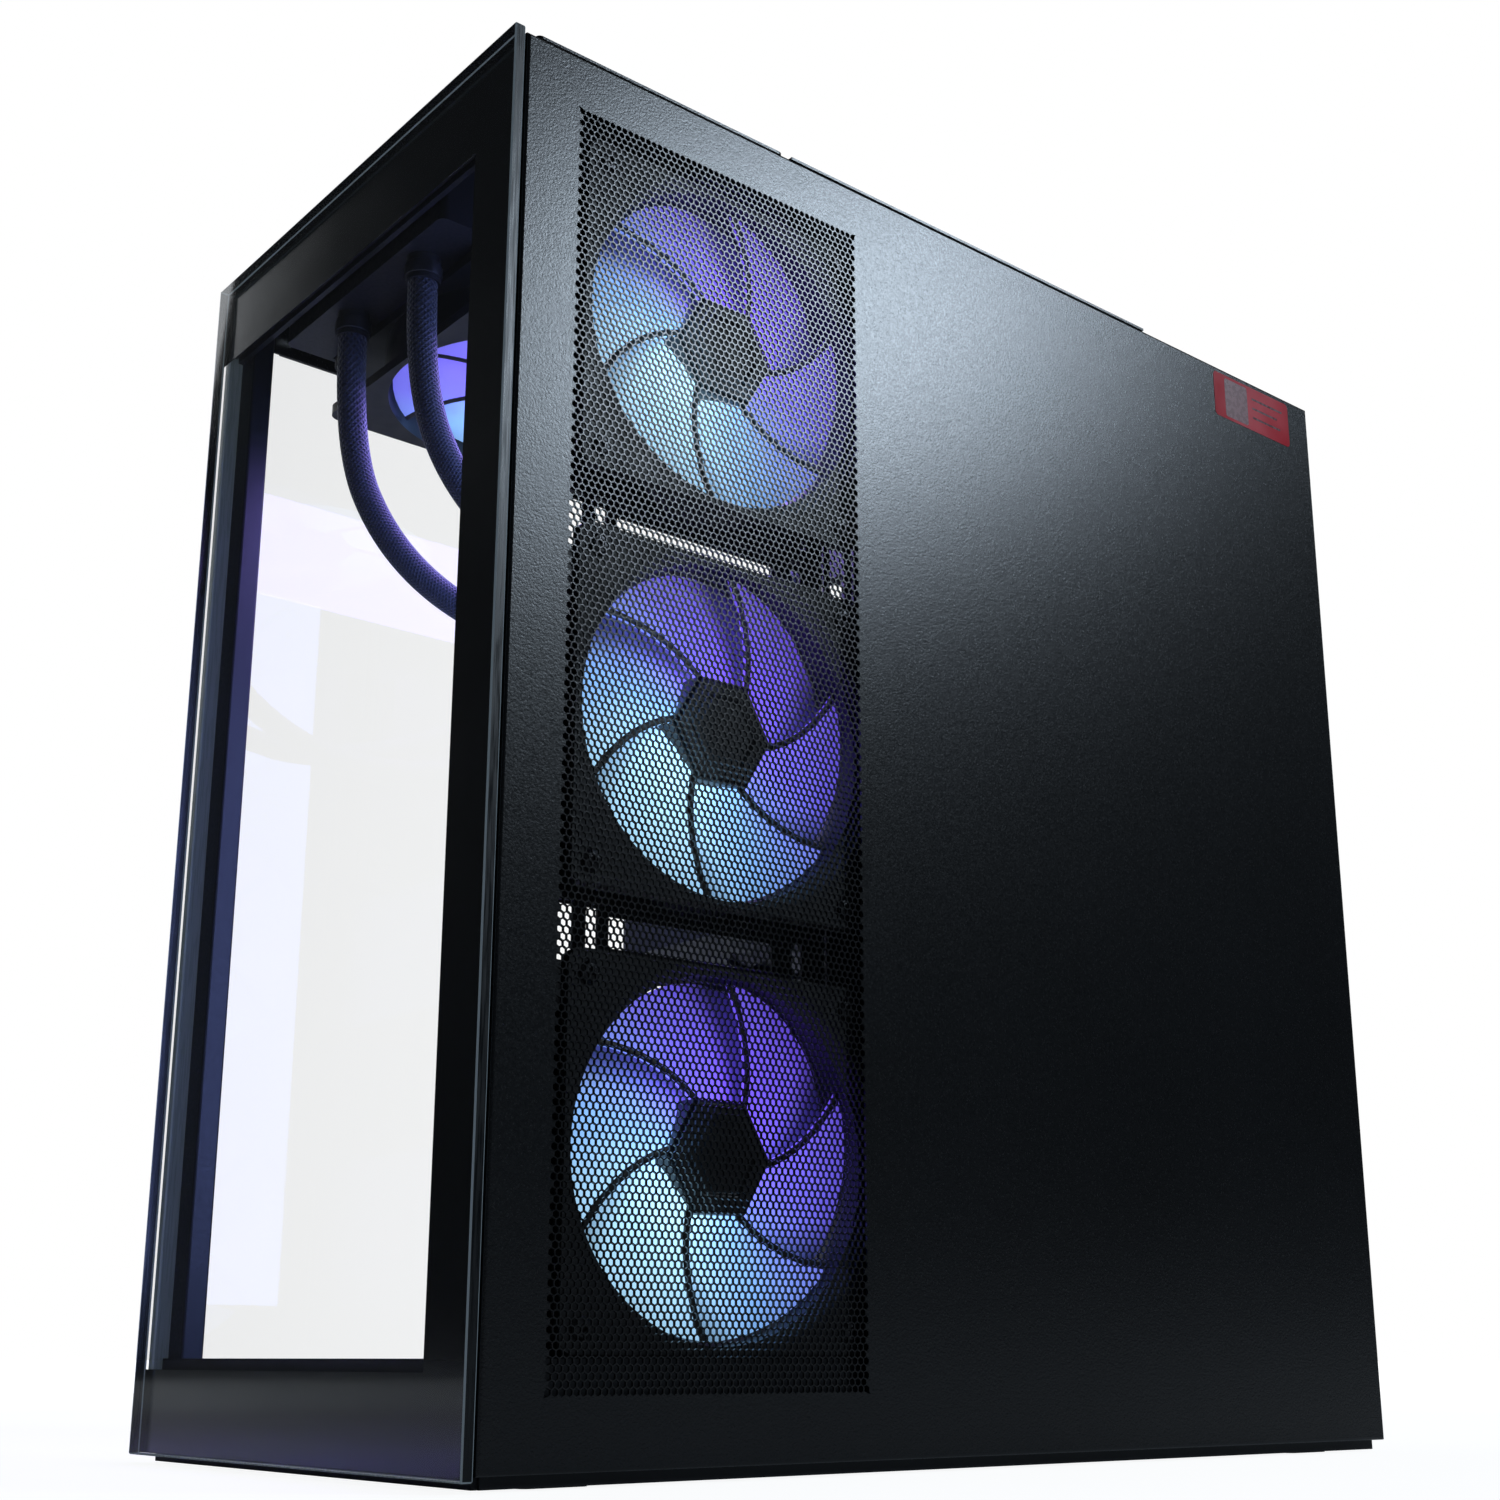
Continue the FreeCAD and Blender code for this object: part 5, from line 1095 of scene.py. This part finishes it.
def strip_details():
    """Status light on the control strip."""
    lo, hi = span("reset_button")
    centre = (lo + hi) / 2
    top = span("io_strip")[1].z
    lamp = Piece().rod((centre.x, centre.y - 7.0, top - 0.5), Z, 0.9, 0.7, 24)
    lamp.done("status_light", "chassis", ICE_BAR, "button_plastic")


case_fan_screws()
memory_details()
pump_details()
board_details()
card_details()
rear_details()
filter_nets()
label_print()
strip_details()


# Studio ----------------------------------------------------------------------------------------

def make_floor():
    """Pale floor that fades into the white background at its far edge."""
    bm = bmesh.new()
    bmesh.ops.create_grid(bm, x_segments=1, y_segments=1, size=30.0)
    data = bpy.data.meshes.new("floor")
    bm.to_mesh(data)
    bm.free()
    s = Shader("floor")
    cloth = s.noise(60.0, 3.0)
    diffuse = s.node("ShaderNodeBsdfDiffuse", {"Color": s.mix(cloth, (0.80, 0.81, 0.82, 1),
                                                               (0.84, 0.85, 0.86, 1))})
    glow = s.node("ShaderNodeEmission", {"Color": (0.985, 0.993, 1.0, 1), "Strength": 1.33})
    seen = s.node("ShaderNodeLightPath").outputs["Is Camera Ray"]
    away = s.node("ShaderNodeVectorMath", {0: s.place}, operation="LENGTH").outputs["Value"]
    share = s.math("MULTIPLY", seen, s.remap(away, 0.8, 2.2, 0.7, 1.0))
    mixed = s.node("ShaderNodeMixShader", {0: share})
    s.feed(mixed.inputs[1], diffuse.outputs[0])
    s.feed(mixed.inputs[2], glow.outputs[0])
    s.show(mixed)
    floor = bpy.data.objects.new("floor", data)
    floor.data.materials.append(s.material)
    bpy.context.scene.collection.objects.link(floor)


def make_world():
    """White to the camera and dim to everything else, so that the panels stay dark."""
    world = bpy.data.worlds.new("studio")
    world.use_nodes = True
    tree = world.node_tree
    tree.nodes.clear()
    seen = tree.nodes.new("ShaderNodeLightPath").outputs["Is Camera Ray"]
    white = tree.nodes.new("ShaderNodeBackground")
    white.inputs["Color"].default_value = (1, 1, 1, 1)
    dim = tree.nodes.new("ShaderNodeBackground")
    dim.inputs["Color"].default_value = (0.8, 0.9, 1.0, 1)
    dim.inputs["Strength"].default_value = 0.02
    mixed = tree.nodes.new("ShaderNodeMixShader")
    out = tree.nodes.new("ShaderNodeOutputWorld")
    tree.links.new(seen, mixed.inputs[0])
    tree.links.new(dim.outputs[0], mixed.inputs[1])
    tree.links.new(white.outputs[0], mixed.inputs[2])
    tree.links.new(mixed.outputs[0], out.inputs["Surface"])
    bpy.context.scene.world = world


def softbox(name, place, target, size, power, colour=(1.0, 1.0, 1.0)):
    light = bpy.data.lights.new(name, "AREA")
    light.shape = "RECTANGLE"
    light.size, light.size_y = size
    light.energy = power
    light.color = colour
    lamp = bpy.data.objects.new(name, light)
    way = Vector(target) - Vector(place)
    lamp.matrix_world = Matrix.Translation(place) @ way.to_track_quat("-Z", "Y").to_matrix().to_4x4()
    bpy.context.scene.collection.objects.link(lamp)
    lamp.visible_camera = False


make_floor()
make_world()
softbox("key", (4.0, 3.18, 3.25), (0.1125, 0.0, 0.3), (1.573, 1.006), 88.0, (0.843, 1.0, 1.161))
softbox("back fill", (-0.6, 2.6, 1.4), (0, 0.2, 0.25), (1.6, 1.2), 9.0, (0.9, 0.96, 1.0))
softbox("left fill", (-2.6, -0.4, 1.5), (0, 0, 0.25), (1.6, 1.2), 9.0, (0.92, 0.96, 1.0))
softbox("top fill", (-0.2, 0.0, 2.6), (0, 0, 0.3), (1.4, 1.4), 5.0, (0.95, 0.98, 1.0))
softbox("fan glow", (-0.0125, -0.008, 0.398), (-0.0125, -0.008, 0.2), (0.11, 0.34), 0.9,
        (0.36, 0.26, 1.0))
softbox("side fan glow", (0.078, -0.126, 0.24), (-0.1, -0.126, 0.24), (0.10, 0.36), 0.5, (0.3, 0.4, 1.0))
bpy.context.scene.view_settings.view_transform = "Standard"
